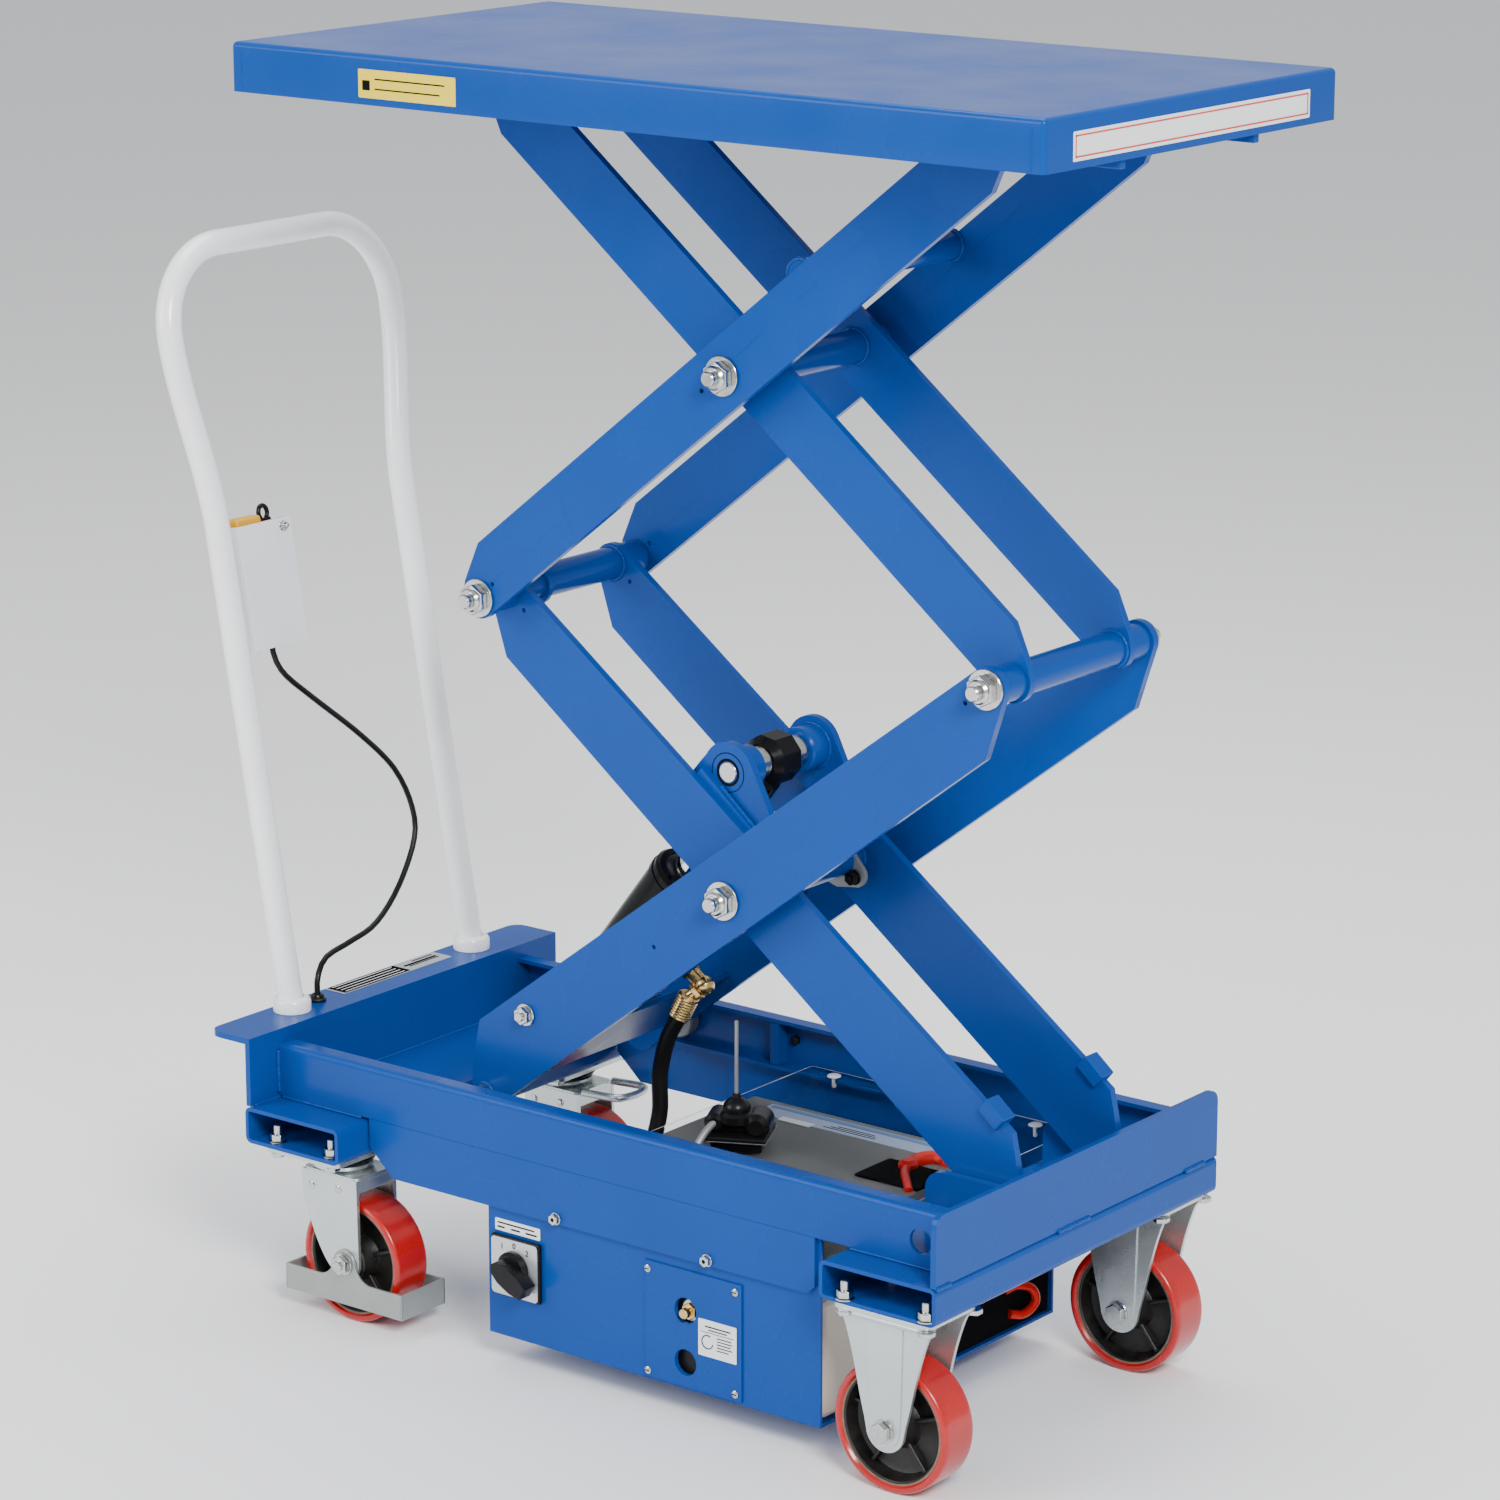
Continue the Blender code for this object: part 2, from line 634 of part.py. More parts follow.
def fork_legs(name, outline, axle, y):
    """Two fork legs joined by the axle, as solids to join to a fork."""
    legs = []
    for number, offset in enumerate((-1, 1)):
        leg_y = y + offset * (FORK_FACE - FORK_SHEET / 2)
        legs.append(sheet(f"{name} leg {number}", [outline], FORK_SHEET, upright(leg_y)))
    ends = [(axle[0], y + end * (FORK_FACE + 9), axle[1]) for end in (-1, 1)]
    legs.append(rod(f"{name} axle", ends[0], ends[1], AXLE_RADIUS))
    return legs


def swivel_leg(axle, top_z):
    """Leg outline with an upright leading edge and a bowed trailing edge."""
    x = axle[0]
    return [(x + 16, top_z), (x - 56, top_z), (x - 56, 129), (x - 48, 106), (x - 38, 80), (x - 27, 60),
            *arc(axle, 17, 225, 360, 5)]


def fixed_leg(axle, top_z):
    """Leg outline that narrows in a curve from the top plate to its foot."""
    x = axle[0]
    left = [(-50, top_z), (-47, 158), (-41, 144), (-35, 121), (-28, 85)]
    outline = [(x + offset, z) for offset, z in left] + arc(axle, 21, 190, 350, 6)
    return outline + [(x - offset, z) for offset, z in reversed(left)]


def swivel_caster(side, sign):
    """Mounting plate, swivelling fork, wheel and toe guard."""
    axis_x, axis_y = SWIVEL_AXIS[0], sign * SWIVEL_AXIS[1]
    plate_z = (CROSS_TUBE_Z[0] - GAP - 5, CROSS_TUBE_Z[0] - GAP)
    plate = block(f"swivel_plate_{side}", (axis_x - 48, axis_x + 48), (axis_y - 62, axis_y + 62),
                  plate_z, ZINC)
    race = rod(f"race {side}", (axis_x, axis_y, 159), (axis_x, axis_y, plate_z[0] + 1), 33)
    combine(plate, [race])

    axle = (axis_x + TRAIL, WHEEL_RADIUS)
    crown_z = (146.0, 150.0)
    crown_y = (axis_y - FORK_FACE + 1, axis_y + FORK_FACE - 1)
    fork = block(f"swivel_fork_{side}", (axle[0] - 55, axle[0] + 15), crown_y, crown_z, ZINC)
    ring = rod(f"fork race {side}", (axis_x, axis_y, 149), (axis_x, axis_y, 159 - GAP), 30)
    legs = fork_legs(f"swivel {side}", swivel_leg(axle, crown_z[1] - 0.6), axle, axis_y)
    combine(fork, [ring, *legs])
    guard = toe_guard(side, axle, axis_y)

    swivel = joint_empty(f"swivel axis {side}", axis_x, axis_y, crown_z[1])
    spin = joint_empty(f"swivel axle {side}", axle[0], axis_y, axle[1])
    ride_on(spin, wheel("swivel", side, (axle[0], axis_y, axle[1])))
    ride_on(swivel, [fork, guard, spin])
    return swivel


def toe_guard(side, axle, y):
    """Flat strip bent into a loop around the wheel, hung from the axle."""
    low_x, high_x = axle[0] - 78, axle[0] + 75
    low_z, high_z = 20.0, 46.0
    inner, outer = FORK_FACE + GAP, FORK_FACE + 3
    loop = block(f"toe_guard_{side}", (low_x, high_x), (y - outer, y + outer), (low_z, high_z), GREY_STEEL)
    well = block(f"guard opening {side}", (low_x + 3, high_x - 3), (y - inner, y + inner),
                 (low_z - 5, high_z + 5))
    cut(loop, [well])
    outline = [(axle[0] - 20, low_z + 10), (axle[0] + 20, low_z + 10), *arc(axle, 12, 0, 180, 6)]
    hole = circle(axle, AXLE_RADIUS + GAP, 16)
    hangers = []
    for number, offset in enumerate((-1, 1)):
        hanger_y = y + offset * (inner + outer) / 2
        hangers.append(sheet(f"guard hanger {side} {number}", [outline, hole], outer - inner,
                             upright(hanger_y)))
    return combine(loop, hangers)


def brake_lever(swivel):
    """Wire loop that a foot presses to lock the far swivel caster."""
    x, y, z = SWIVEL_AXIS[0] + 46.5, SWIVEL_AXIS[1], 153.0
    half = [(0, 24, -1), (16, 24, 0), (36, 24, 1), (44, 21, 1), (49, 13, 1), (50, 0, 1)]
    route = [(x + along, y - across, z + up) for along, across, up in half]
    route += [(x + along, y + across, z + up) for along, across, up in reversed(half[:-1])]
    lever = tube("brake_lever", route, 4, ZINC, 2)
    pivot = joint_empty("brake axis", x, y, z - 2)
    ride_on(pivot, [lever])
    ride_on(swivel, [pivot])


def fixed_caster(side, sign):
    """Fixed fork on its top plate, with its wheel."""
    x, y = FIXED_AXLE[0], sign * FIXED_AXLE[1]
    plate_z = (CROSS_TUBE_Z[0] - GAP - 5, CROSS_TUBE_Z[0] - GAP)
    fork = block(f"fixed_fork_{side}", (x - 54, x + 54), (y - 39, y + 39), plate_z, ZINC)
    axle = (x, WHEEL_RADIUS)
    combine(fork, fork_legs(f"fixed {side}", fixed_leg(axle, plate_z[0] + 1), axle, y))
    spin = joint_empty(f"fixed axle {side}", x, y, WHEEL_RADIUS)
    ride_on(spin, wheel("fixed", side, (x, y, WHEEL_RADIUS)))


# ---------------------------------------------------------------- scissor arms

def deep_outline():
    """Lower arm plate: deep at its free end, narrowing towards the mid pivot."""
    end = HALF_ARM
    return [(340, -49), *arc((end, 0), 19.5, -63, 90), (-341, 59), (-374, 33),
            *arc((-end, 0), 18, 150, 270)]


def slim_outline():
    """Upper arm plate."""
    end = HALF_ARM
    return [(345, -41), *arc((end, 0), 21, -63, 90), (-348, 41), (-386, 22),
            *arc((-end, 0), 20, 118, 270)]


def arm_matrix(y, centre_z, rising):
    """Placing of an arm's plate; rising is 1 for up to the right, -1 for up to the left."""
    return upright(y, (CENTRE_X, centre_z), rising * ARM_ANGLE)


def arm_point(local, centre_z, rising):
    """X and Z of a point given along and above an arm's pivot line."""
    along, above = local
    angle = rising * ARM_ANGLE
    x = CENTRE_X + along * math.cos(angle) - above * math.sin(angle)
    z = centre_z + along * math.sin(angle) + above * math.cos(angle)
    return x, z


def arm_plates(name, outline, holes, faces, centre_z, rising):
    """Both plates of one arm pair: the near one is the part, the far one joins it."""
    flip = rising
    loops = [[(flip * x, y) for x, y in outline]]
    loops += [circle((flip * x, y), PIN_RADIUS + GAP) for x, y in holes]
    thickness = faces[1] - faces[0]
    middle = sum(faces) / 2
    near = sheet(name, loops, thickness, arm_matrix(-middle, centre_z, rising), PAINT)
    far = sheet(f"{name} far plate", loops, thickness, arm_matrix(middle, centre_z, rising))
    return near, far


def crossing(name, point, half_length, radius):
    """A shaft or tube from one side to the other at a point in X and Z."""
    x, z = point
    return rod(name, (x, -half_length, z), (x, half_length, z), radius)


def stepped_pivots(name, point):
    """Collars and pins that carry the outer arms on an inner arm's cross tube."""
    tube_item = crossing(f"{name} tube", point, INNER_PLATE[0] + 1, CROSS_TUBE_RADIUS)
    pieces = [tube_item]
    for side, sign in SIDES.items():
        x, z = point
        collar = rod(f"{name} collar {side}", (x, sign * (INNER_PLATE[1] - 1), z),
                     (x, sign * (OUTER_PLATE[0] - GAP), z), COLLAR_RADIUS)
        pin = rod(f"{name} pin {side}", (x, sign * (INNER_PLATE[1] - 1), z),
                  (x, sign * (OUTER_PLATE[1] + 1), z), PIN_RADIUS)
        pieces += [collar, pin]
    return pieces


def lower_outer_arms():
    """Deep outer plates that run on rollers in the side beams."""
    holes = [(0, 0), (HALF_ARM, 0)]
    near, far = arm_plates("lower_outer_arms", deep_outline(), holes, OUTER_PLATE, LOWER_CENTRE_Z, 1)
    foot = arm_point(CYLINDER_FOOT, LOWER_CENTRE_Z, 1)
    shaft = crossing("cylinder foot shaft", foot, 42, PIN_RADIUS)
    lug = [(CYLINDER_FOOT[0] - 24, -8), (CYLINDER_FOOT[0] + 24, -8), *arc(CYLINDER_FOOT, 17, 0, 180)]
    lugs = [sheet(f"cylinder lug {side}", [lug], 8, arm_matrix(sign * 30, LOWER_CENTRE_Z, 1))
            for side, sign in SIDES.items()]
    roller_axle = [rod(f"roller axle {side}", (ROLLER_X, sign * (OUTER_PLATE[0] + 1), BASE_PIVOT_Z),
                       (ROLLER_X, sign * 186, BASE_PIVOT_Z), 8) for side, sign in SIDES.items()]
    brace = block("brace plate", (-52, 52), (-OUTER_PLATE[0] - 1, OUTER_PLATE[0] + 1), (-3, 3))
    x, z = arm_point((-292, -9), LOWER_CENTRE_Z, 1)
    brace.location = Vector((x, 0, z)) * MM
    brace.rotation_euler = (0, -ARM_ANGLE, 0)
    combine(near, [brace, far, *lugs, shaft, *roller_axle])
    return near


def ears():
    """Ear plates on the lower inner arms, with bosses and short pins for the rod end."""
    pieces = []
    ear_x, ear_z = arm_point((EAR[0], EAR[1]), LOWER_CENTRE_Z, -1)
    outline = [(EAR[0] + 103, 20), (EAR[0] + 103, 44), *arc(EAR, 29, 65, 190), (EAR[0] - 29, 40),
               (EAR[0] - 29, 20)]
    for side, sign in SIDES.items():
        pieces.append(sheet(f"ear {side}", [outline], 8, arm_matrix(sign * 64, LOWER_CENTRE_Z, -1)))
        pad = block(f"ear pad {side}", (-38, 38), mirror_y(sign, -6, 6), (-6, 6))
        x, z = arm_point((EAR[0] + 37, 28), LOWER_CENTRE_Z, -1)
        pad.location = Vector((x, sign * 72, z)) * MM
        pad.rotation_euler = (0, ARM_ANGLE, 0)
        pieces.append(pad)
        pieces.append(rod(f"ear boss {side}", (ear_x, sign * 40, ear_z), (ear_x, sign * 61, ear_z), 24))
        pieces.append(rod(f"ear pin {side}", (ear_x, sign * (EYE_HALF_WIDTH + 1), ear_z),
                          (ear_x, sign * 41, ear_z), PIN_RADIUS))
    return pieces


def lower_inner_arms():
    """Deep inner plates on the fixed base pivots, with the cylinder's ears."""
    near, far = arm_plates("lower_inner_arms", deep_outline(), [], INNER_PLATE, LOWER_CENTRE_Z, -1)
    pieces = [far]
    pieces += stepped_pivots("lower centre", (CENTRE_X, LOWER_CENTRE_Z))
    pieces += stepped_pivots("mid left", (ROLLER_X, MID_Z))
    for side, sign in SIDES.items():
        pieces.append(rod(f"base pin {side}", (FIXED_X, sign * (INNER_PLATE[0] + 1), BASE_PIVOT_Z),
                          (FIXED_X, sign * 99, BASE_PIVOT_Z), PIN_RADIUS))
        stop = block(f"stop block {side}", (-13, 13), mirror_y(sign, -10, 10), (-8, 8))
        x, z = arm_point((316, 58), LOWER_CENTRE_Z, -1)
        stop.location = Vector((x, sign * 79, z)) * MM
        stop.rotation_euler = (0, ARM_ANGLE, 0)
        pieces.append(stop)
    combine(near, pieces + ears())
    return near


def upper_outer_arms():
    """Slim outer plates that carry the platform's fixed pivots."""
    holes = [(0, 0), (-HALF_ARM, 0)]
    near, far = arm_plates("upper_outer_arms", slim_outline(), holes, OUTER_PLATE, UPPER_CENTRE_Z, 1)
    tie = crossing("upper tie tube", arm_point((125, 23), UPPER_CENTRE_Z, 1), OUTER_PLATE[0] + 1, 14)
    pins = [rod(f"platform pin {side}", (FIXED_X, sign * (OUTER_PLATE[0] + 1), TOP_PIVOT_Z),
                (FIXED_X, sign * 134, TOP_PIVOT_Z), PIN_RADIUS) for side, sign in SIDES.items()]
    combine(near, [far, tie, *pins])
    return near


def upper_inner_arms():
    """Slim inner plates that run on rollers under the platform."""
    near, far = arm_plates("upper_inner_arms", slim_outline(), [], INNER_PLATE, UPPER_CENTRE_Z, -1)
    pieces = [far]
    pieces += stepped_pivots("upper centre", (CENTRE_X, UPPER_CENTRE_Z))
    pieces += stepped_pivots("mid right", (FIXED_X, MID_Z))
    pieces += [rod(f"upper roller axle {side}", (ROLLER_X, sign * (INNER_PLATE[0] + 1), TOP_PIVOT_Z),
                   (ROLLER_X, sign * 104, TOP_PIVOT_Z), 8) for side, sign in SIDES.items()]
    combine(near, pieces)
    return near


def roller(name, y, z, half_width, radius):
    """Ring that turns on an arm's roller axle."""
    inner = 8 + GAP
    profile = [(inner, half_width), (radius, half_width), (radius, -half_width), (inner, -half_width)]
    turned(name, profile, (ROLLER_X, y, z), (0, 1, 0), GREY_STEEL, closed=True)


def rollers():
    """Lower rollers in the side beams and upper rollers under the platform."""
    for side, sign in SIDES.items():
        roller(f"lower_roller_{side}", sign * 179, BASE_PIVOT_Z, 7, 20)
        roller(f"upper_roller_{side}", sign * 96, TOP_PIVOT_Z, 8, 19)


# ---------------------------------------------------------------- hydraulic cylinder

def cylinder_ends():
    foot = arm_point(CYLINDER_FOOT, LOWER_CENTRE_Z, 1)
    head = arm_point(EAR, LOWER_CENTRE_Z, -1)
    foot = Vector((foot[0], 0, foot[1]))
    head = Vector((head[0], 0, head[1]))
    return foot, head, (head - foot).normalized()


def cylinder_barrel():
    """Barrel with its foot eye, gland and the elbow for the hose."""
    foot, _, along = cylinder_ends()
    across = Vector((along.z, 0, -along.x))
    half_eye = Vector((0, 24, 0))
    barrel = rod("cylinder_barrel", foot + along * 26, foot + along * BARREL_TOP, BARREL_RADIUS, BLACK)
    eye = rod("foot eye", foot - half_eye, foot + half_eye, 21)
    neck = rod("foot neck", foot + along * 8, foot + along * 30, 18, segments=20)
    port = foot + along * 95 + Vector((0, -4, 0))
    elbow = rod("elbow", port + across * 20, port + across * 82, 8, segments=12)
    bend = port + across * 80
    down = (Vector(HOSE_ROUTE[0]) - bend).normalized()
    elbow_foot = rod("elbow foot", bend - down * 3, Vector(HOSE_ROUTE[0]) - down * 3.4, 8, segments=12)
    combine(barrel, [neck, eye, elbow, elbow_foot])
    bore = rod("cylinder bore", foot + along * BORE_START, foot + along * (BARREL_TOP + 5),
               ROD_RADIUS + GAP)
    eye_bore = rod("foot eye bore", foot - half_eye * 1.5, foot + half_eye * 1.5, PIN_RADIUS + GAP)
    cut(barrel, [bore, eye_bore])
    return barrel


def cylinder_rod():
    """Chromed rod with the rod end that sits between the ears."""
    foot, head, along = cylinder_ends()
    rod_item = rod("cylinder_rod", foot + along * ROD_INNER_END, head, ROD_RADIUS, CHROME)
    half = Vector((0, EYE_HALF_WIDTH, 0))
    combine(rod_item, [rod("rod end", head - half, head + half, 24)])
    return rod_item


def hose():
    """Pressure hose from the elbow down to the pump manifold."""
    return tube("hydraulic_hose", smooth_route(HOSE_ROUTE, 18), HOSE_RADIUS, BLACK, 2)


# ---------------------------------------------------------------- platform

def platform():
    """Folded steel pan, open below, with the pivot brackets and roller rails inside it."""
    half = PLATFORM_HALF_WIDTH
    pan = block("platform", PLATFORM_X, (-half, half), PLATFORM_Z, PAINT)
    inside = block("inside of platform", (PLATFORM_X[0] + SHEET, PLATFORM_X[1] - SHEET),
                   (SHEET - half, half - SHEET), (PLATFORM_Z[0] - 5, PLATFORM_Z[1] - SHEET))
    cut(pan, [inside])
    pieces = [pan]
    top = PLATFORM_Z[1] - SHEET - GAP
    for side, sign in SIDES.items():
        outline = [(388, top), (400, 1206), (446, 1206), (458, top)]
        hole = circle((FIXED_X, TOP_PIVOT_Z), PIN_RADIUS + GAP)
        pieces.append(sheet(f"platform_bracket_{side}", [outline, hole], 8, upright(sign * 129), PAINT))
        pieces.append(block(f"platform_rail_{side}", (-358, -110), mirror_y(sign, 86, 108),
                            (top - 5.3, top), PAINT))
    return pieces


# ---------------------------------------------------------------- assembly

def build_base():
    for side, sign in SIDES.items():
        side_beam(side, sign)
        side_skirt(side, sign)
        base_bracket(side, sign)
    cross_tube("swivel_cross_tube", SWIVEL_TUBE_X, 233.0)
    cross_tube("fixed_cross_tube", FIXED_TUBE_X, END_WIDTH)
    handle_end_plate()
    front_end_plate()
    power_box()
    access_panel()
    drain_fitting()
    isolator()
    box_contents()
    limit_switch()
    handle()
    frame = pendant_frame()
    pendant_holder(frame)
    pendant(frame)
    pendant_cord()


def build_casters():
    for side, sign in SIDES.items():
        swivel = swivel_caster(side, sign)
        fixed_caster(side, sign)
    brake_lever(swivel)


def build_lift():
    """The four arm pairs, the cylinder and the platform, each parented on its joint."""
    lower_outer = lower_outer_arms()
    lower_inner = lower_inner_arms()
    upper_outer = upper_outer_arms()
    upper_inner = upper_inner_arms()
    rollers()
    barrel, rod_item = cylinder_barrel(), cylinder_rod()
    hose()
    foot, _, _ = cylinder_ends()
    ride_on(joint_empty("base pivot", FIXED_X, 0, BASE_PIVOT_Z), [lower_inner])
    ride_on(joint_empty("lower centre pivot", CENTRE_X, 0, LOWER_CENTRE_Z), [lower_outer])
    ride_on(joint_empty("mid pivot", ROLLER_X, 0, MID_Z), [upper_outer])
    ride_on(joint_empty("upper centre pivot", CENTRE_X, 0, UPPER_CENTRE_Z), [upper_inner])
    ride_on(joint_empty("platform pivot", FIXED_X, 0, TOP_PIVOT_Z), platform())
    ride_on(joint_empty("cylinder foot", *foot), [barrel, rod_item])


build_base()
build_casters()
build_lift()
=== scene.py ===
"""Looks of the double scissor lift table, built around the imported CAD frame.

Sizes in this script are in millimetres unless a name says otherwise.
"""
import math

import bmesh
import bpy
from mathutils import Matrix, Vector


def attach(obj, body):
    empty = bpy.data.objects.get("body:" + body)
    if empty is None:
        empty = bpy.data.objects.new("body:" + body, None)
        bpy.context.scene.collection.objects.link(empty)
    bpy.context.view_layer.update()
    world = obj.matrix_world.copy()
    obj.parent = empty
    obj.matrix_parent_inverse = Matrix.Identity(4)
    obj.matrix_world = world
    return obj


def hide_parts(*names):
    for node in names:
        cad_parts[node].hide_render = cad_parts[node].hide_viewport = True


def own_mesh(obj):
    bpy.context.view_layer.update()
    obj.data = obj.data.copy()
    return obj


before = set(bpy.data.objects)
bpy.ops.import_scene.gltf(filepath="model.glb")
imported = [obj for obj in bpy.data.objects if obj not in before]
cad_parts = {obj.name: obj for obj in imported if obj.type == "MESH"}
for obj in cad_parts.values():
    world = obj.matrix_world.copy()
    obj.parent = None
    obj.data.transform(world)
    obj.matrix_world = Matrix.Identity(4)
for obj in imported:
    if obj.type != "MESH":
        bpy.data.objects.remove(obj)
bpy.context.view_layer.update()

MM = 0.001
SIDES = {"near": -1, "far": 1}
ROUND = 48

# Places and sizes shared with the CAD model
HALF_ARM = 381.5
ARM_ANGLE = math.radians(39.85)
FIXED_X = 423.0
BASE_PIVOT_Z = 243.5
RISE = 2 * HALF_ARM * math.sin(ARM_ANGLE)
ROLLER_X = FIXED_X - 2 * HALF_ARM * math.cos(ARM_ANGLE)
CENTRE_X = (FIXED_X + ROLLER_X) / 2
LOWER_CENTRE_Z = BASE_PIVOT_Z + RISE / 2
MID_Z = BASE_PIVOT_Z + RISE
UPPER_CENTRE_Z = MID_Z + RISE / 2
TOP_PIVOT_Z = MID_Z + RISE
OUTER_PLATE = (113.0, 121.0)
INNER_PLATE = (75.0, 83.0)
PIN_RADIUS = 10.0
CROSS_TUBE_RADIUS = 16.0
CYLINDER_FOOT = (-285.0, 34.0)
EAR = (-95.0, 57.5)
WHEEL_RADIUS = 62.7
HANDLE_X0 = -353.26
HANDLE_LEAN = 0.178
SHELF_Z = 282.9
SWIVEL_AXIS = (-308.5, 168.0)
SWIVEL_AXLE_X = -281.0
FIXED_AXLE = (388.8, 187.6)
FORK_FACE = 29.0
TUBE_BOTTOM_Z = 177.0
TREAD_HALF_WIDTH = 22.0
EYE_HALF_WIDTH = 20.0
BATTERY_TOP = 210.0
COVER_TOP = 223.3
FITTING = (138.0, 109.0)
ISOLATOR = (-67.0, 104.0)
BOX_FACE_Y = -187.0
SWITCH_PLACE = Vector((74.5, -25, 0))
SWITCH_TURN = math.radians(27)
CORD_ROUTE = (
    (-468.6, -85, 648), (-466.3, -85, 635), (-464, -84, 622), (-461, -72, 603), (-456, -38, 574),
    (-447, 20, 526), (-440, 62, 483), (-433, 80, 440), (-426, 74, 407), (-419, 40, 365),
    (-414, 0, 338), (-412, -40, 329), (-411, -76, 322), (-407, -93, 308), (-405, -97, 296),
    (-405, -97, 283.6),
)
HOSE_ROUTE = (
    (1, -12, 343), (-8, -15, 323), (-20, -18, 298), (-27, -21, 263), (-24, -25, 228),
    (-25, -33, 200), (-28, -39, 171),
)

# Share of the noise that runs from the darkest to the lightest patch
PATCH_RANGE = (0.3, 0.7)

# Stage, in metres and watts: name, place, target, width and power of each light
FLOOR_HALF_M = 14
LIGHTS = (
    ("key", (3.6, -2.6, 3.4), (0.1, 0, 0.6), 1.6, 290),
    ("fill", (-2.2, -3.6, 2.2), (0, 0, 0.7), 2.6, 105),
    ("top", (-0.4, 0.6, 4.2), (0, 0, 0.8), 2.8, 110),
)
CAMERA_PLACE_M = (2.8473, -3.5605, 1.7686)
CAMERA_TURN = (1.3188, 0, 0.663)
CAMERA_SENSOR_MM = 36
CAMERA_LENS_MM = 119.15
CAMERA_SHIFT = -0.0063


# ---------------------------------------------------------------- materials

def set_inputs(node, values):
    """Set a shader node's inputs from a table of names and values."""
    for key, value in values.items():
        node.inputs[key].default_value = value


def make_finish(name, colour, roughness, metallic=0.0, tint=0.05, patch=18.0, grain=900.0,
                bump=0.05, coat=0.0, spread=0.06, transmission=0.0, shine=0.5, ior=1.5):
    """A Principled finish with patchy colour and gloss, and a fine grain as bump."""
    made = bpy.data.materials.new(name)
    made.use_nodes = True
    nodes, links = made.node_tree.nodes, made.node_tree.links
    shader = nodes["Principled BSDF"]
    set_inputs(shader, {"Metallic": metallic, "Coat Weight": coat, "Coat Roughness": 0.12,
                        "Specular IOR Level": shine, "Transmission Weight": transmission, "IOR": ior})
    where = nodes.new("ShaderNodeTexCoord")
    patches = nodes.new("ShaderNodeTexNoise")
    set_inputs(patches, {"Scale": patch, "Detail": 5.0})
    links.new(where.outputs["Object"], patches.inputs["Vector"])
    ramp = nodes.new("ShaderNodeValToRGB")
    dark, light = ramp.color_ramp.elements
    dark.position, light.position = PATCH_RANGE
    dark.color = (*(value * (1 - tint) for value in colour), 1)
    light.color = (*(min(1, value * (1 + tint)) for value in colour), 1)
    links.new(patches.outputs["Fac"], ramp.inputs["Fac"])
    links.new(ramp.outputs["Color"], shader.inputs["Base Color"])
    gloss = nodes.new("ShaderNodeMapRange")
    set_inputs(gloss, {"From Min": PATCH_RANGE[0], "From Max": PATCH_RANGE[1],
                       "To Min": max(0.02, roughness - spread), "To Max": roughness + spread})
    links.new(patches.outputs["Fac"], gloss.inputs["Value"])
    links.new(gloss.outputs["Result"], shader.inputs["Roughness"])
    grains = nodes.new("ShaderNodeTexNoise")
    set_inputs(grains, {"Scale": grain, "Detail": 3.0})
    links.new(where.outputs["Object"], grains.inputs["Vector"])
    relief = nodes.new("ShaderNodeBump")
    set_inputs(relief, {"Strength": bump, "Distance": 0.0006})
    links.new(grains.outputs["Fac"], relief.inputs["Height"])
    links.new(relief.outputs["Normal"], shader.inputs["Normal"])
    return made


BLUE = make_finish("blue powder coat", (0.0, 0.051, 0.275), 0.26, tint=0.03, patch=9, grain=420,
                   bump=0.08, coat=0.06, shine=0.14)
WHITE = make_finish("white powder coat", (0.93, 0.94, 0.95), 0.2, tint=0.02, grain=420, bump=0.1,
                    coat=0.5)
PALE = make_finish("pale grey paint", (0.76, 0.77, 0.80), 0.4, tint=0.03, bump=0.06)
ZINC = make_finish("bright zinc", (0.56, 0.61, 0.61), 0.27, 0.8, tint=0.04, patch=22, grain=1500,
                   bump=0.02)
FASTENER = make_finish("zinc fastener", (0.55, 0.56, 0.54), 0.2, 1.0, tint=0.1, patch=200, bump=0.05)
GREY_STEEL = make_finish("dull zinc strip", (0.33, 0.35, 0.34), 0.42, 0.55, tint=0.06, patch=40, bump=0.06)
CHROME = make_finish("hard chrome", (0.82, 0.83, 0.85), 0.08, 1.0, tint=0.02, spread=0.03, bump=0.01)
BLACK_PAINT = make_finish("black gloss paint", (0.005, 0.005, 0.006), 0.2, tint=0.15, spread=0.04,
                          bump=0.03, shine=0.12)
BLACK = make_finish("black moulding", (0.006, 0.006, 0.007), 0.3, tint=0.2, grain=1400, bump=0.05,
                    shine=0.2)
RUBBER = make_finish("black rubber", (0.006, 0.006, 0.006), 0.3, tint=0.2, grain=1600, bump=0.08,
                     shine=0.22)
IRON = make_finish("black casting", (0.012, 0.011, 0.010), 0.42, 0.2, tint=0.4, patch=90, grain=520,
                   bump=0.55)
RED = make_finish("red polyurethane", (0.42, 0.006, 0.006), 0.26, tint=0.1, patch=25, grain=700,
                  bump=0.05, coat=0.35, shine=0.4)
RIM = make_finish("worn rim edge", (0.20, 0.13, 0.09), 0.5, 0.3, tint=0.3, patch=160, bump=0.2)
PALE_BLUE = make_finish("battery label", (0.36, 0.42, 0.56), 0.4, tint=0.04, bump=0.02)
RED_PLASTIC = make_finish("red moulding", (0.62, 0.008, 0.004), 0.3, tint=0.06, bump=0.04, shine=0.25)
BRASS = make_finish("brass", (0.72, 0.50, 0.20), 0.25, 1.0, tint=0.1, patch=120, bump=0.05)
YELLOW = make_finish("yellow moulding", (0.72, 0.36, 0.01), 0.4, tint=0.04, bump=0.1)
BEIGE = make_finish("beige tank", (0.62, 0.58, 0.48), 0.5, tint=0.06, patch=14, bump=0.1)
GREY = make_finish("grey battery case", (0.15, 0.15, 0.147), 0.6, shine=0.1, tint=0.05, bump=0.12)
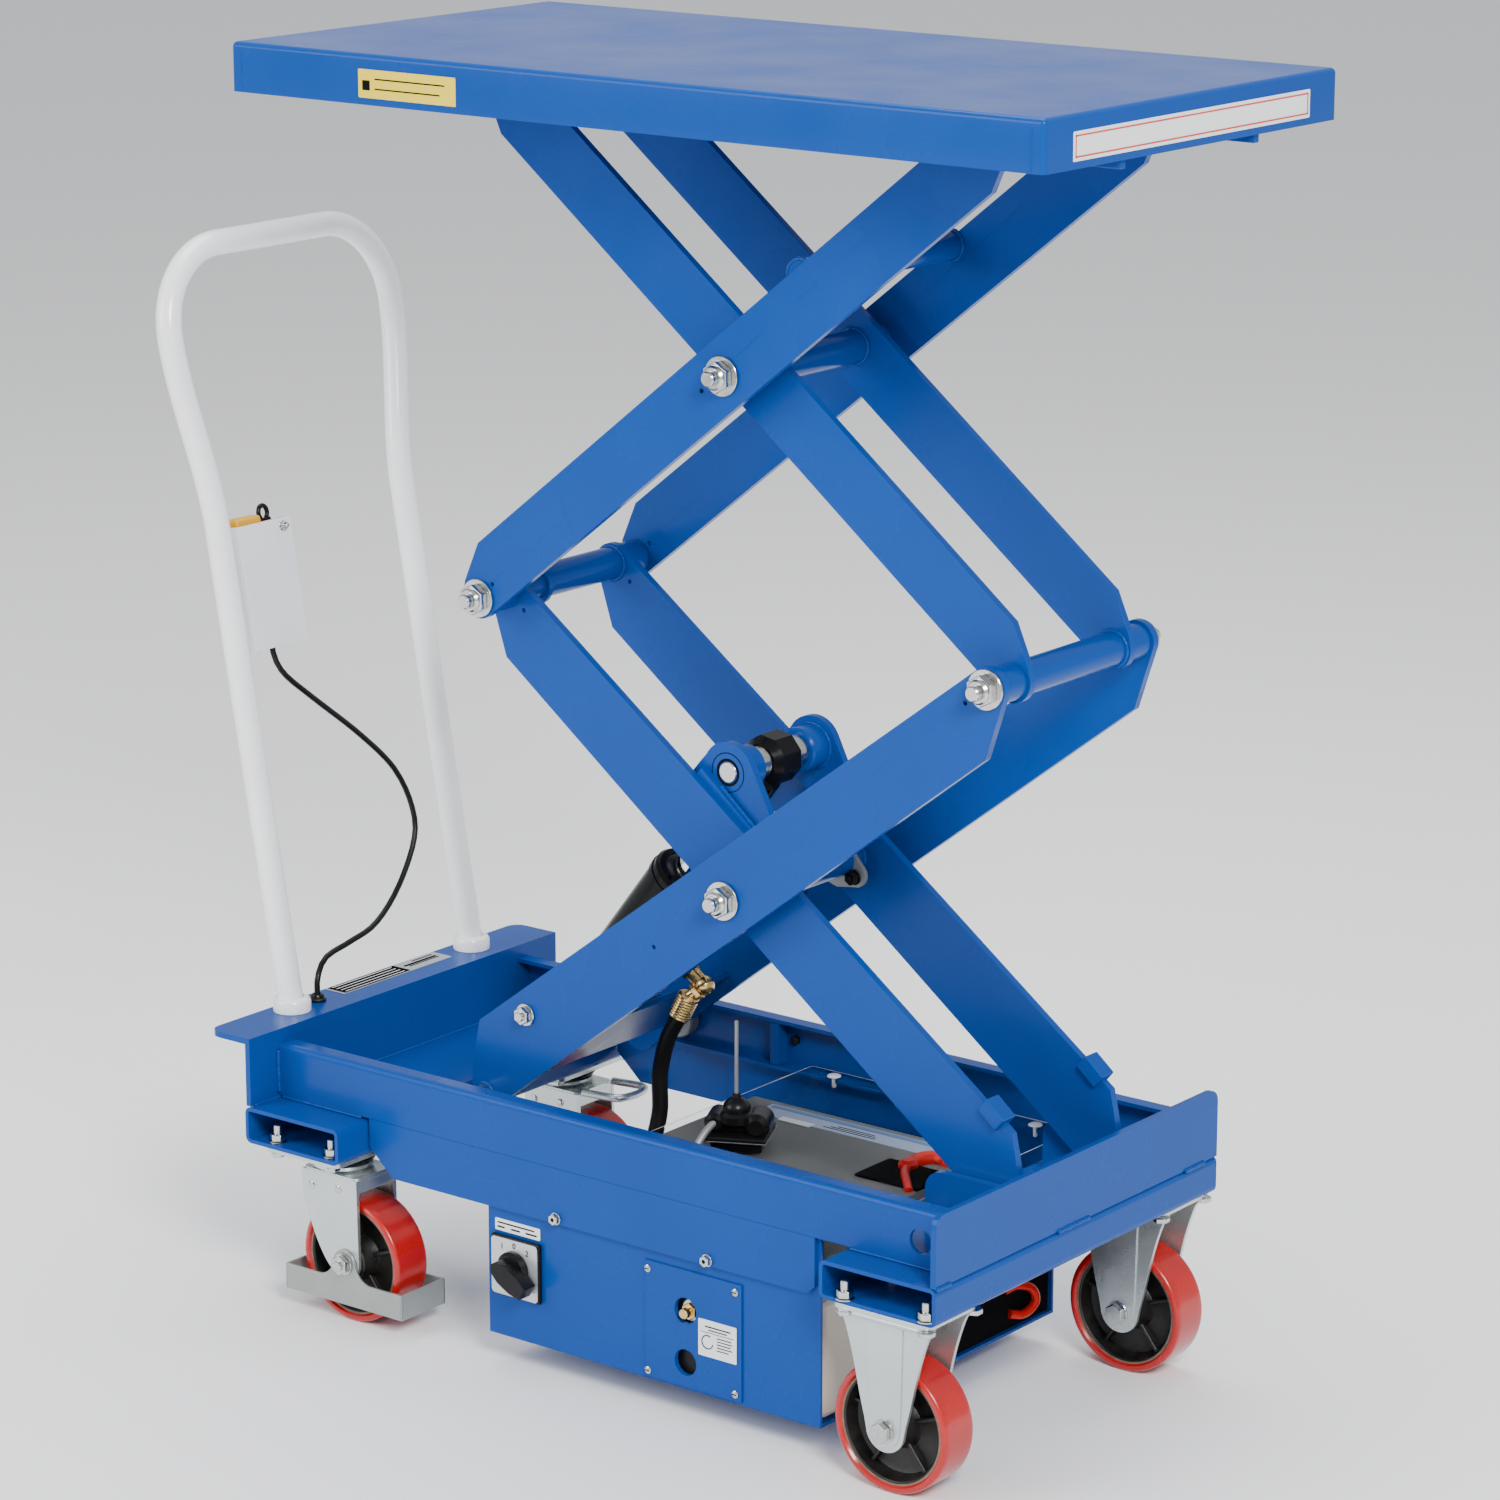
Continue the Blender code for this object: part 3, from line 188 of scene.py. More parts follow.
LABEL = make_finish("white label", (0.80, 0.81, 0.82), 0.35, tint=0.02, bump=0.02)
YELLOW_LABEL = make_finish("yellow label", (0.80, 0.60, 0.01), 0.35, tint=0.02, bump=0.02)
SILVER_LABEL = make_finish("silver label", (0.55, 0.57, 0.60), 0.3, 0.6, tint=0.03, bump=0.03)
INK = make_finish("print", (0.008, 0.008, 0.009), 0.5, tint=0.1, bump=0.02, shine=0.0)
BLUE_INK = make_finish("blue print", (0.10, 0.18, 0.40), 0.5, tint=0.05, bump=0.02)
RED_INK = make_finish("red print", (0.60, 0.04, 0.04), 0.5, tint=0.05, bump=0.02)
CLEAR = make_finish("clear sheet", (0.97, 0.985, 0.99), 0.03, tint=0.005, spread=0.01, bump=0.0,
                    transmission=1.0, shine=0.15, ior=1.012)


# ---------------------------------------------------------------- helpers

def link(name, data):
    """A new object in the scene."""
    item = bpy.data.objects.new(name, data)
    bpy.context.scene.collection.objects.link(item)
    return item


def dress(item, body, finish, *nodes):
    """Give a placed piece its finish and body, and the CAD nodes that it stands for."""
    item.data.materials.clear()
    item.data.materials.append(finish)
    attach(item, body)
    if nodes:
        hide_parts(*nodes)
    return item


def soften(item, width, segments=3):
    """Rounded edges with clean shading."""
    item.data.shade_smooth()
    if width:
        bevel = item.modifiers.new("round edges", "BEVEL")
        bevel.width = width * MM
        bevel.segments = segments
        bevel.limit_method = "ANGLE"
        bevel.angle_limit = math.radians(38)
    else:
        item.data.set_sharp_from_angle(angle=math.radians(35))
    item.modifiers.new("even shading", "WEIGHTED_NORMAL")
    return item


def from_shape(name, shape):
    """A new object with an edited shape as its mesh."""
    mesh = bpy.data.meshes.new(name)
    shape.to_mesh(mesh)
    shape.free()
    return link(name, mesh)


def box_shape(low, high):
    """A box between two corners in metres."""
    shape = bmesh.new()
    bmesh.ops.create_cube(shape, size=1)
    bmesh.ops.scale(shape, vec=high - low, verts=shape.verts)
    bmesh.ops.translate(shape, vec=(low + high) / 2, verts=shape.verts)
    return shape


def block(name, x, y, z, body, finish, *nodes, edge=1.0, matrix=None):
    """A box between two limits on each axis, with rounded edges."""
    low = Vector((min(x), min(y), min(z))) * MM
    high = Vector((max(x), max(y), max(z))) * MM
    item = soften(from_shape(name, box_shape(low, high)), edge)
    if matrix is not None:
        item.matrix_world = matrix
    return dress(item, body, finish, *nodes)


def axis_frame(start, end):
    """Matrix in metres with its Z along a line given in millimetres."""
    start, end = Vector(start) * MM, Vector(end) * MM
    turn = (end - start).to_track_quat("Z", "Y").to_matrix().to_4x4()
    return Matrix.Translation(start) @ turn, (end - start).length / MM


def lathe(name, profile, start, end, body, finish, *nodes, steps=ROUND, matrix=None, loop=False):
    """A profile of (radius, height) turned about the line from start towards end."""
    placing, _ = axis_frame(start, end)
    shape = bmesh.new()
    rings = []
    for radius, height in profile:
        if radius < 0.01:
            rings.append([shape.verts.new((0, 0, height * MM))])
            continue
        ring = []
        for step in range(steps):
            angle = 2 * math.pi * step / steps
            ring.append(shape.verts.new((radius * MM * math.cos(angle), radius * MM * math.sin(angle),
                                         height * MM)))
        rings.append(ring)
    pairs = list(zip(rings, rings[1:]))
    if loop:
        pairs.append((rings[-1], rings[0]))
    for first, second in pairs:
        for step in range(steps):
            after = (step + 1) % steps
            corners = [first[step % len(first)], first[after % len(first)],
                       second[after % len(second)], second[step % len(second)]]
            unique = list(dict.fromkeys(corners))
            if len(unique) > 2:
                shape.faces.new(unique)
    bmesh.ops.recalc_face_normals(shape, faces=shape.faces)
    item = from_shape(name, shape)
    item.data.shade_smooth()
    item.data.set_sharp_from_angle(angle=math.radians(32))
    item.matrix_world = matrix @ placing if matrix is not None else placing
    return dress(item, body, finish, *nodes)


def rod(name, start, end, radius, body, finish, *nodes, edge=0.8, steps=ROUND, matrix=None):
    """A cylinder between two points with chamfered ends."""
    _, length = axis_frame(start, end)
    edge = min(edge, radius / 2, length / 3)
    profile = [(0, 0), (radius - edge, 0), (radius, edge), (radius, length - edge),
               (radius - edge, length), (0, length)]
    return lathe(name, profile, start, end, body, finish, *nodes, steps=steps, matrix=matrix)


def hexagon(name, start, end, flats, body, finish=FASTENER, matrix=None):
    """A hexagonal nut or bolt head."""
    placing, length = axis_frame(start, end)
    radius = flats / 2 / math.cos(math.pi / 6) * MM
    shape = bmesh.new()
    bmesh.ops.create_cone(shape, cap_ends=True, segments=6, radius1=radius, radius2=radius,
                          depth=length * MM)
    bmesh.ops.translate(shape, vec=(0, 0, length * MM / 2), verts=shape.verts)
    item = soften(from_shape(name, shape), min(1.2, length / 5), 2)
    item.matrix_world = matrix @ placing if matrix is not None else placing
    return dress(item, body, finish)


def washer(name, start, end, radius, hole, body):
    """A flat ring."""
    _, length = axis_frame(start, end)
    profile = [(hole, 0), (radius - 0.5, 0), (radius, 0.5), (radius, length - 0.5),
               (radius - 0.5, length), (hole, length)]
    return lathe(name, profile, start, end, body, FASTENER, loop=True)


def bolt(name, place, outward, flats, height, body, finish=FASTENER, matrix=None, stud=0.0,
         plate=True):
    """Washer, hexagon and, for a nut, the end of its bolt, stacked along one direction."""
    place, outward = Vector(place), Vector(outward).normalized()
    start = place
    if plate:
        top = place + outward * 1.6
        rod(f"{name}.washer", place, top, flats * 0.62, body, finish, matrix=matrix, edge=0.4)
        start = top
    hexagon(f"{name}.hex", start, start + outward * height, flats, body, finish, matrix=matrix)
    if stud:
        rod(f"{name}.stud", start + outward * height * 0.5, start + outward * (height + stud),
            flats * 0.3, body, finish, matrix=matrix, edge=0.8, steps=24)


def rivet(name, place, outward, radius, body, finish, height=1.6):
    """A low domed head."""
    place, outward = Vector(place), Vector(outward).normalized()
    profile = [(0, 0), (radius, 0), (radius * 0.97, height * 0.4), (radius * 0.7, height * 0.85),
               (0, height)]
    return lathe(name, profile, place, place + outward, body, finish, steps=24)


def span(x, z, sign, first, second):
    """Two points on a line along Y, at distances from the middle of the table."""
    return (x, sign * first, z), (x, sign * second, z)


def arc(centre, radius, start, end, steps=14):
    """Points on an arc, from one angle to another in degrees."""
    points = []
    for step in range(steps + 1):
        angle = math.radians(start + (end - start) * step / steps)
        points.append((centre[0] + radius * math.cos(angle), centre[1] + radius * math.sin(angle)))
    return points


def circle(centre, radius):
    """Points round a circle, without a repeated first point."""
    count = 32
    return arc(centre, radius, 0, 360 - 360 / count, count - 1)


def as_mesh(curve_item):
    """The curve as a mesh with its caps welded on."""
    bpy.context.view_layer.update()
    evaluated = curve_item.evaluated_get(bpy.context.evaluated_depsgraph_get())
    mesh = bpy.data.meshes.new_from_object(evaluated)
    shape = bmesh.new()
    shape.from_mesh(mesh)
    bmesh.ops.remove_doubles(shape, verts=shape.verts, dist=0.00001)
    shape.to_mesh(mesh)
    shape.free()
    name, matrix = curve_item.name, curve_item.matrix_world.copy()
    bpy.data.objects.remove(curve_item, do_unlink=True)
    item = link(name, mesh)
    item.matrix_world = matrix
    return item


def sheet_metal(name, loops, thickness, matrix, body, finish, *nodes, edge=0.8):
    """A flat outline, with any holes as further loops, given its thickness."""
    curve = bpy.data.curves.new(name, "CURVE")
    curve.dimensions = "2D"
    curve.fill_mode = "BOTH"
    curve.extrude = thickness / 2 * MM
    for loop in loops:
        spline = curve.splines.new("POLY")
        spline.points.add(len(loop) - 1)
        for point, (x, y) in zip(spline.points, loop):
            point.co = (x * MM, y * MM, 0, 1)
        spline.use_cyclic_u = True
    item = link(name, curve)
    placed = matrix.copy()
    placed.translation = matrix.translation * MM
    item.matrix_world = placed
    return dress(soften(as_mesh(item), edge, 2), body, finish, *nodes)


def upright(y, origin=(0, 0), tilt=0.0):
    """Placing for an outline drawn in X and Z, at one y, turned about its origin."""
    turn = Matrix.Rotation(-tilt, 4, "Y") @ Matrix.Rotation(math.pi / 2, 4, "X")
    return Matrix.Translation((origin[0], y, origin[1])) @ turn


def flat(z):
    """Placing for an outline drawn in X and Y, at one height."""
    return Matrix.Translation((0, 0, z))


def smooth_route(points, spacing):
    """Points at an even spacing on a Catmull-Rom curve through a route."""
    ends = [2 * Vector(points[0]) - Vector(points[1])]
    ends += [Vector(point) for point in points]
    ends.append(2 * Vector(points[-1]) - Vector(points[-2]))
    fine = []
    parts = 12
    for before, first, second, after in zip(ends, ends[1:], ends[2:], ends[3:]):
        for part in range(parts):
            t = part / parts
            fine.append(0.5 * (2 * first + (second - before) * t
                               + (2 * before - 5 * first + 4 * second - after) * t ** 2
                               + (3 * first - before - 3 * second + after) * t ** 3))
    fine.append(ends[-2])
    kept = [fine[0]]
    run = 0.0
    for first, second in zip(fine, fine[1:]):
        run += (second - first).length
        if run >= spacing:
            kept.append(second)
            run = 0.0
    kept[-1] = fine[-1]
    return kept


def wire(name, points, radius, closed=False, resolution=6):
    """A round tube along points, as a curve that has no body yet."""
    curve = bpy.data.curves.new(name, "CURVE")
    curve.dimensions = "3D"
    curve.bevel_depth = radius * MM
    curve.bevel_resolution = resolution
    curve.use_fill_caps = True
    spline = curve.splines.new("POLY")
    spline.points.add(len(points) - 1)
    for point, place in zip(spline.points, points):
        point.co = (*(Vector(place) * MM), 1)
    spline.use_cyclic_u = closed
    spline.use_smooth = True
    return link(name, curve)


def tube(name, points, radius, body, finish, *nodes, closed=False, resolution=6):
    """A round tube along points, as a smooth mesh."""
    item = as_mesh(wire(name, points, radius, closed, resolution))
    item.data.shade_smooth()
    item.data.set_sharp_from_angle(angle=math.radians(50))
    return dress(item, body, finish, *nodes)


def weld(name, points, body, radius=2.0, closed=False):
    """A weld bead: a tube whose thickness ripples along its run."""
    path = [Vector(point) for point in points]
    if closed:
        path.append(path[0])
    beads = []
    ripple_step = 1.8
    for first, second in zip(path, path[1:]):
        count = max(2, int((second - first).length / ripple_step))
        beads += [first.lerp(second, step / count) for step in range(count)]
    if not closed:
        beads.append(path[-1])
    item = wire(name, beads, radius, closed, 3)
    for number, point in enumerate(item.data.splines[0].points):
        point.radius = 1 + 0.16 * math.sin(number * 2.1) + 0.08 * math.sin(number * 0.83)
    item = as_mesh(item)
    item.data.shade_smooth()
    return dress(item, body, BLUE)


def weld_ring(name, centre, radius, body):
    """A round bead about a line along Y, where a tube meets a plate."""
    points = []
    count = 28
    for step in range(count):
        angle = 2 * math.pi * step / count
        offset = Vector((radius * math.cos(angle), 0, radius * math.sin(angle)))
        points.append(Vector(centre) + offset)
    return weld(name, points, body, 1.8, closed=True)


def label(name, corner, width_axis, height_axis, size, outward, body, finish, bars=(), ink=INK,
          border=False):
    """A thin plate with plain printed bars; sizes run along its two axes."""
    corner, outward = Vector(corner), Vector(outward).normalized()
    across, up = Vector(width_axis).normalized(), Vector(height_axis).normalized()
    turn = Matrix((across, up, outward)).transposed().to_4x4()
    placing = Matrix.Translation(corner * MM) @ turn
    width, height = size
    outline = rounded(0, 0, width, height, 1.2)
    thickness = 0.5
    print_depth = (0.4, 0.75)
    piece = Matrix.Translation(corner + outward * thickness / 2) @ turn
    sheet_metal(name, [outline], thickness, piece, body, finish, edge=0)
    lines = list(bars)
    if border:
        edge, inset = 1.4, 3
        lines += [(inset, inset, width - 2 * inset, edge),
                  (inset, height - inset - edge, width - 2 * inset, edge),
                  (inset, inset, edge, height - 2 * inset),
                  (width - inset - edge, inset, edge, height - 2 * inset)]
    for number, (x, y, bar_width, bar_height) in enumerate(lines):
        block(f"{name}.bar{number}", (x, x + bar_width), (y, y + bar_height), print_depth,
              body, ink, edge=0, matrix=placing)


def rounded(x0, y0, x1, y1, radius):
    """Outline of a rectangle with round corners."""
    left, right, low, high = x0 + radius, x1 - radius, y0 + radius, y1 - radius
    points = []
    for number, corner in enumerate(((right, low), (right, high), (left, high), (left, low))):
        points += arc(corner, radius, 90 * number - 90, 90 * number, 5)
    return points


# ---------------------------------------------------------------- CAD nodes that stay

KEPT_FINISH = {
    "power_box": (BLUE, 0.8), "access_panel": (BLUE, 0.5), "swivel_cross_tube": (BLUE, 1.2),
    "fixed_cross_tube": (BLUE, 1.2), "handle_end_plate": (BLUE, 1.5), "front_end_plate": (BLUE, 1.2),
    "well_cover": (CLEAR, 0.4), "hydraulic_tank": (BEIGE, 0.0), "pump_motor": (BLACK_PAINT, 1.5),
    "isolator_plate": (BLACK, 0.0), "up_button": (BLACK, 0.8), "down_button": (BLACK, 0.8),
}
for side_name in SIDES:
    for stem in ("side_beam", "side_skirt", "base_bracket", "platform_bracket", "platform_rail"):
        KEPT_FINISH[f"{stem}_{side_name}"] = (BLUE, 0.9)


def dress_kept_nodes():
    """Finish the CAD nodes that are shown as they are, with rounded edges."""
    for node, (finish, edge) in KEPT_FINISH.items():
        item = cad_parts[node]
        item.data.materials.clear()
        item.data.materials.append(finish)
        item.data.shade_smooth()
        item.data.set_sharp_from_angle(angle=math.radians(30))
        if edge:
            bevel = item.modifiers.new("round edges", "BEVEL")
            bevel.width = edge * MM
            bevel.segments = 3
            bevel.limit_method = "ANGLE"
            bevel.angle_limit = math.radians(40)
            item.modifiers.new("even shading", "WEIGHTED_NORMAL")


# ---------------------------------------------------------------- scissor arms

def deep_outline():
    """Lower arm plate: deep at its free end, narrowing towards the mid pivot."""
    end = HALF_ARM
    return [(340, -49), *arc((end, 0), 19.5, -63, 90), (-341, 59), (-374, 33),
            *arc((-end, 0), 18, 150, 270)]


def slim_outline():
    """Upper arm plate."""
    end = HALF_ARM
    return [(345, -41), *arc((end, 0), 21, -63, 90), (-348, 41), (-386, 22),
            *arc((-end, 0), 20, 118, 270)]


def arm_point(local, centre_z, rising):
    """X and Z of a point given along and above an arm's pivot line."""
    along, above = local
    angle = rising * ARM_ANGLE
    return (CENTRE_X + along * math.cos(angle) - above * math.sin(angle),
            centre_z + along * math.sin(angle) + above * math.cos(angle))


def arm_pair(node, outline, holes, faces, centre_z, rising, body):
    """Both plates of an arm pair; the near one stands for the CAD node."""
    loops = [[(rising * x, y) for x, y in outline]]
    loops += [circle((rising * x, y), radius) for x, y, radius in holes]
    for side, sign in SIDES.items():
        nodes = (node,) if side == "near" else ()
        placing = upright(sign * sum(faces) / 2, (CENTRE_X, centre_z), rising * ARM_ANGLE)
        sheet_metal(f"{node}_plate_{side}", loops, faces[1] - faces[0], placing, body, BLUE, *nodes)


def cross_tube(name, point, half_length, radius, body):
    """A tube between two plates, with a weld bead at each end."""
    x, z = point
    rod(name, (x, -half_length, z), (x, half_length, z), radius, body, BLUE)
    for side, sign in SIDES.items():
        weld_ring(f"{name}.weld_{side}", (x, sign * (half_length - 1), z), radius + 0.8, body)


def pivot_set(name, point, body):
    """Cross tube, spacer collars, washers and nuts on an inner arm's pivot line."""
    x, z = point
    cross_tube(f"{name}_tube", point, INNER_PLATE[0], CROSS_TUBE_RADIUS, body)
    collar_top = OUTER_PLATE[0] - 0.4
    face = OUTER_PLATE[1] + 0.3
    nut_collar = [(11.5, 0), (11.5, 1.5), (9.6, 3.6), (7.5, 3.6), (7.5, 0)]
    for side, sign in SIDES.items():
        rod(f"{name}_collar_{side}", *span(x, z, sign, INNER_PLATE[1], collar_top),
            17, body, BLUE, edge=1.2)
        washer(f"{name}_washer_{side}", *span(x, z, sign, face, face + 3), 18.5, 9, body)
        hexagon(f"{name}_nut_{side}", *span(x, z, sign, face + 3, face + 12), 26, body)
        lathe(f"{name}_nut_collar_{side}", nut_collar, *span(x, z, sign, face + 11.8, face + 16), body,
              FASTENER, loop=True)
        rod(f"{name}_pin_end_{side}", *span(x, z, sign, face + 2, face + 23), 7.2, body, FASTENER, edge=1.2)


def lower_outer_arms():
    """Outer arm plates, the brace plate with the cylinder's lugs, and the lower roller axles."""
    body = "lower_outer"
    holes = [(-102, 7, 2.2), (354, 2.5, 2.2)]
    arm_pair("lower_outer_arms", deep_outline(), holes, OUTER_PLATE, LOWER_CENTRE_Z, 1, body)
    foot_x, foot_z = arm_point(CYLINDER_FOOT, LOWER_CENTRE_Z, 1)
    rod("cylinder_foot_pin", (foot_x, -42, foot_z), (foot_x, 42, foot_z), PIN_RADIUS, body, FASTENER)
    brace_x, brace_z = arm_point((-292, -9), LOWER_CENTRE_Z, 1)
    placing = Matrix.Translation(Vector((brace_x, 0, brace_z)) * MM)
    placing = placing @ Matrix.Rotation(-ARM_ANGLE, 4, "Y")
    block("brace_plate", (-52, 52), (-113, 113), (-3, 3), body, BLUE, matrix=placing)
    weld_points = [arm_point((along, -5), LOWER_CENTRE_Z, 1) for along in (-340, -245)]
    for side, sign in SIDES.items():
        weld(f"brace_weld_{side}", [(x, sign * 112, z) for x, z in weld_points], body)
        lug = [(CYLINDER_FOOT[0] - 26, -7), (CYLINDER_FOOT[0] + 26, -7), *arc(CYLINDER_FOOT, 17, 0, 180)]
        placing = upright(sign * 30, (CENTRE_X, LOWER_CENTRE_Z), ARM_ANGLE)
        sheet_metal(f"cylinder_lug_{side}", [lug], 8, placing, body, BLUE)
        washer(f"foot_bolt_washer_{side}", *span(foot_x, foot_z, sign, 121.2, 123.2), 11, 4, body)
        hexagon(f"foot_bolt_{side}", *span(foot_x, foot_z, sign, 123.2, 130), 16, body)
        rod(f"foot_bolt_end_{side}", *span(foot_x, foot_z, sign, 124, 133), 5, body, FASTENER)
        rod(f"lower_roller_axle_{side}", *span(ROLLER_X, BASE_PIVOT_Z, sign, 120, 186), 8, body, FASTENER)
        weld_ring(f"roller_axle_weld_{side}", (ROLLER_X, sign * 121.5, BASE_PIVOT_Z), 9, body)


def ears():
    """Ear plates with their bosses, spacers and the ends of the pin."""
    body = "lower_inner"
    x, z = arm_point(EAR, LOWER_CENTRE_Z, -1)
    outline = [(EAR[0] + 103, 20), (EAR[0] + 103, 44), *arc(EAR, 29, 65, 190, 24), (EAR[0] - 29, 40),
               (EAR[0] - 29, 20)]
    for side, sign in SIDES.items():
        placing = upright(sign * 64, (CENTRE_X, LOWER_CENTRE_Z), -ARM_ANGLE)
        sheet_metal(f"ear_{side}", [outline], 8, placing, body, BLUE)
        rod(f"ear_boss_{side}", *span(x, z, sign, 36, 61), 21.5, body, BLUE, edge=2)
        weld_ring(f"ear_boss_weld_{side}", (x, sign * 59.6, z), 22.2, body)
        rod(f"ear_spacer_{side}", *span(x, z, sign, EYE_HALF_WIDTH + 0.6, 36.5), 16, body,
            FASTENER, edge=1.5)
        rod(f"ear_pin_end_{side}", *span(x, z, sign, 60, 68.8), 10.2, body, FASTENER, edge=1)
        for number, (radius, wide) in enumerate(((10.6, 2.6), (18.2, 0.8))):
            ring = [(radius, 0), (radius + wide, 0), (radius + wide, 0.25), (radius, 0.25)]
            lathe(f"ear_mark_{side}_{number}", ring, *span(x, z, sign, 68, 69), body, INK, loop=True)
        foot = [arm_point((along, 43.5), LOWER_CENTRE_Z, -1) for along in (EAR[0] + 4, EAR[0] + 98)]
        weld(f"ear_foot_weld_{side}", [(px, sign * 71, pz) for px, pz in foot], body, 1.9)
        pad_x, pad_z = arm_point((EAR[0] + 37, 36), LOWER_CENTRE_Z, -1)
        placing = Matrix.Translation(Vector((pad_x, sign * 71.5, pad_z)) * MM)
        placing = placing @ Matrix.Rotation(ARM_ANGLE, 4, "Y")
        block(f"ear_pad_{side}", (-58, 58), (-5, 5), (-7, 7), body, BLUE, matrix=placing)
    lug = [(106, 466), (110, 478), (142, 500), *arc((148, 475), 12, 50, -95, 12), (126, 460)]
    sheet_metal("keeper_plate", [lug], 4, upright(60), body, GREY_STEEL)
    bolt("keeper_bolt", (147, 58, 473), (0, -1, 0), 12, 7, body, BLACK, stud=3)


def lower_inner_arms():
    """Inner arm plates with the lower centre and mid left pivots, stop blocks and ears."""
    body = "lower_inner"
    holes = [(354, 2.5, 2.2)]
    arm_pair("lower_inner_arms", deep_outline(), holes, INNER_PLATE, LOWER_CENTRE_Z, -1, body)
    pivot_set("lower_centre", (CENTRE_X, LOWER_CENTRE_Z), body)
    pivot_set("mid_left", (ROLLER_X, MID_Z), body)
    rod("mid_left_flange", (ROLLER_X, -42, MID_Z), (ROLLER_X, -36, MID_Z), 21, body, BLUE)
    rod("grease_nipple", (ROLLER_X, -52, MID_Z + 14), (ROLLER_X, -52, MID_Z + 23), 3, body, BRASS, steps=16)
    for side, sign in SIDES.items():
        rod(f"base_pin_{side}", *span(FIXED_X, BASE_PIVOT_Z, sign, 82, 98.5), PIN_RADIUS, body, FASTENER)
        x, z = arm_point((316, 58), LOWER_CENTRE_Z, -1)
        placing = Matrix.Translation(Vector((x, sign * 79, z)) * MM)
        placing = placing @ Matrix.Rotation(ARM_ANGLE, 4, "Y")
        block(f"stop_block_{side}", (-13, 13), (-10, 10), (-8, 8), body, BLUE, edge=1.6, matrix=placing)
    ears()


def upper_outer_arms():
    """Outer arm plates, their tie tube and the platform pins."""
    body = "upper_outer"
    holes = [(-359, 1, 2.2), (-29, 3, 2.2)]
    arm_pair("upper_outer_arms", slim_outline(), holes, OUTER_PLATE, UPPER_CENTRE_Z, 1, body)
    cross_tube("upper_tie_tube", arm_point((125, 23), UPPER_CENTRE_Z, 1), OUTER_PLATE[0], 14, body)
    for side, sign in SIDES.items():
        rod(f"platform_pin_{side}", *span(FIXED_X, TOP_PIVOT_Z, sign, 120, 134), PIN_RADIUS, body, FASTENER)


def upper_inner_arms():
    """Inner arm plates with the upper centre and mid right pivots, and the upper roller axles."""
    body = "upper_inner"
    arm_pair("upper_inner_arms", slim_outline(), [], INNER_PLATE, UPPER_CENTRE_Z, -1, body)
    pivot_set("upper_centre", (CENTRE_X, UPPER_CENTRE_Z), body)
    pivot_set("mid_right", (FIXED_X, MID_Z), body)
    for side, sign in SIDES.items():
        rod(f"upper_roller_axle_{side}", *span(ROLLER_X, TOP_PIVOT_Z, sign, 82, 104), 8, body, FASTENER)


def rollers():
    """The two lower and two upper scissor rollers."""
    kinds = (("lower", 179, BASE_PIVOT_Z, 7, 20), ("upper", 96, TOP_PIVOT_Z, 8, 19))
    for side, sign in SIDES.items():
        for kind, y, z, half, radius in kinds:
            profile = [(8.3, -half), (radius - 1.5, -half), (radius, 1.5 - half), (radius, half - 1.5),
                       (radius - 1.5, half), (8.3, half)]
            name = f"{kind}_roller_{side}"
            lathe(f"{name}_ring", profile, (ROLLER_X, sign * y, z), (ROLLER_X, sign * y + 1, z), name,
                  GREY_STEEL, name, loop=True)


# ---------------------------------------------------------------- hydraulics

def hydraulics():
    """Cylinder between its foot lugs and the ears, and the hose on its port."""
    foot_x, foot_z = arm_point(CYLINDER_FOOT, LOWER_CENTRE_Z, 1)
    head_x, head_z = arm_point(EAR, LOWER_CENTRE_Z, -1)
    foot, head = Vector((foot_x, 0, foot_z)), Vector((head_x, 0, head_z))
    along = (head - foot).normalized()
    across = Vector((along.z, 0, -along.x))
    cylinder(foot, head, along)
    hose_fittings(foot + along * 95 + Vector((0, -4, 0)), across)
    hose_item = tube("pressure_hose", smooth_route(HOSE_ROUTE, 5), 8, "base", RUBBER, "hydraulic_hose",
                     resolution=8)
    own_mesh(hose_item)


def cylinder(foot, head, along):
    """Barrel with its foot eye and wiper, and the chromed rod with its rod end."""
    profile = [(0, 26), (28, 26), (34, 31), (34, 150), (35.2, 151), (35.2, 157), (34, 158), (34, 164),
               (31, 168), (25, 168), (25, 164), (18, 164), (18, 33), (0, 33)]
    lathe("cylinder_tube", profile, foot, head, "barrel", BLACK_PAINT, "cylinder_barrel")
    wiper = [(17.4, 163), (24.8, 163), (24.8, 167.4), (20, 169.5), (17.4, 169.5)]
    lathe("cylinder_wiper", wiper, foot, head, "barrel", RUBBER, loop=True)
    eye = [(10.3, -24), (20, -24), (21, -23), (21, 23), (20, 24), (10.3, 24)]
    lathe("cylinder_foot_eye", eye, foot, foot + Vector((0, 1, 0)), "barrel", BLACK_PAINT, loop=True)
    rod("cylinder_neck", foot + along * 12, foot + along * 30, 18, "barrel", BLACK_PAINT)
    rod("cylinder_rod_bar", foot + along * 157, head - along * 12, 17, "rod", CHROME, "cylinder_rod")
    lathe("rod_end", [(10.4, -20), (18, -20), (25, -13), (25, 13), (18, 20), (10.4, 20)], head,
          head + Vector((0, 1, 0)), "rod", BLACK_PAINT, loop=True, steps=9)
    rod("rod_end_neck", head - along * 40, head - along * 18, 21, "rod", BLACK_PAINT, edge=4)


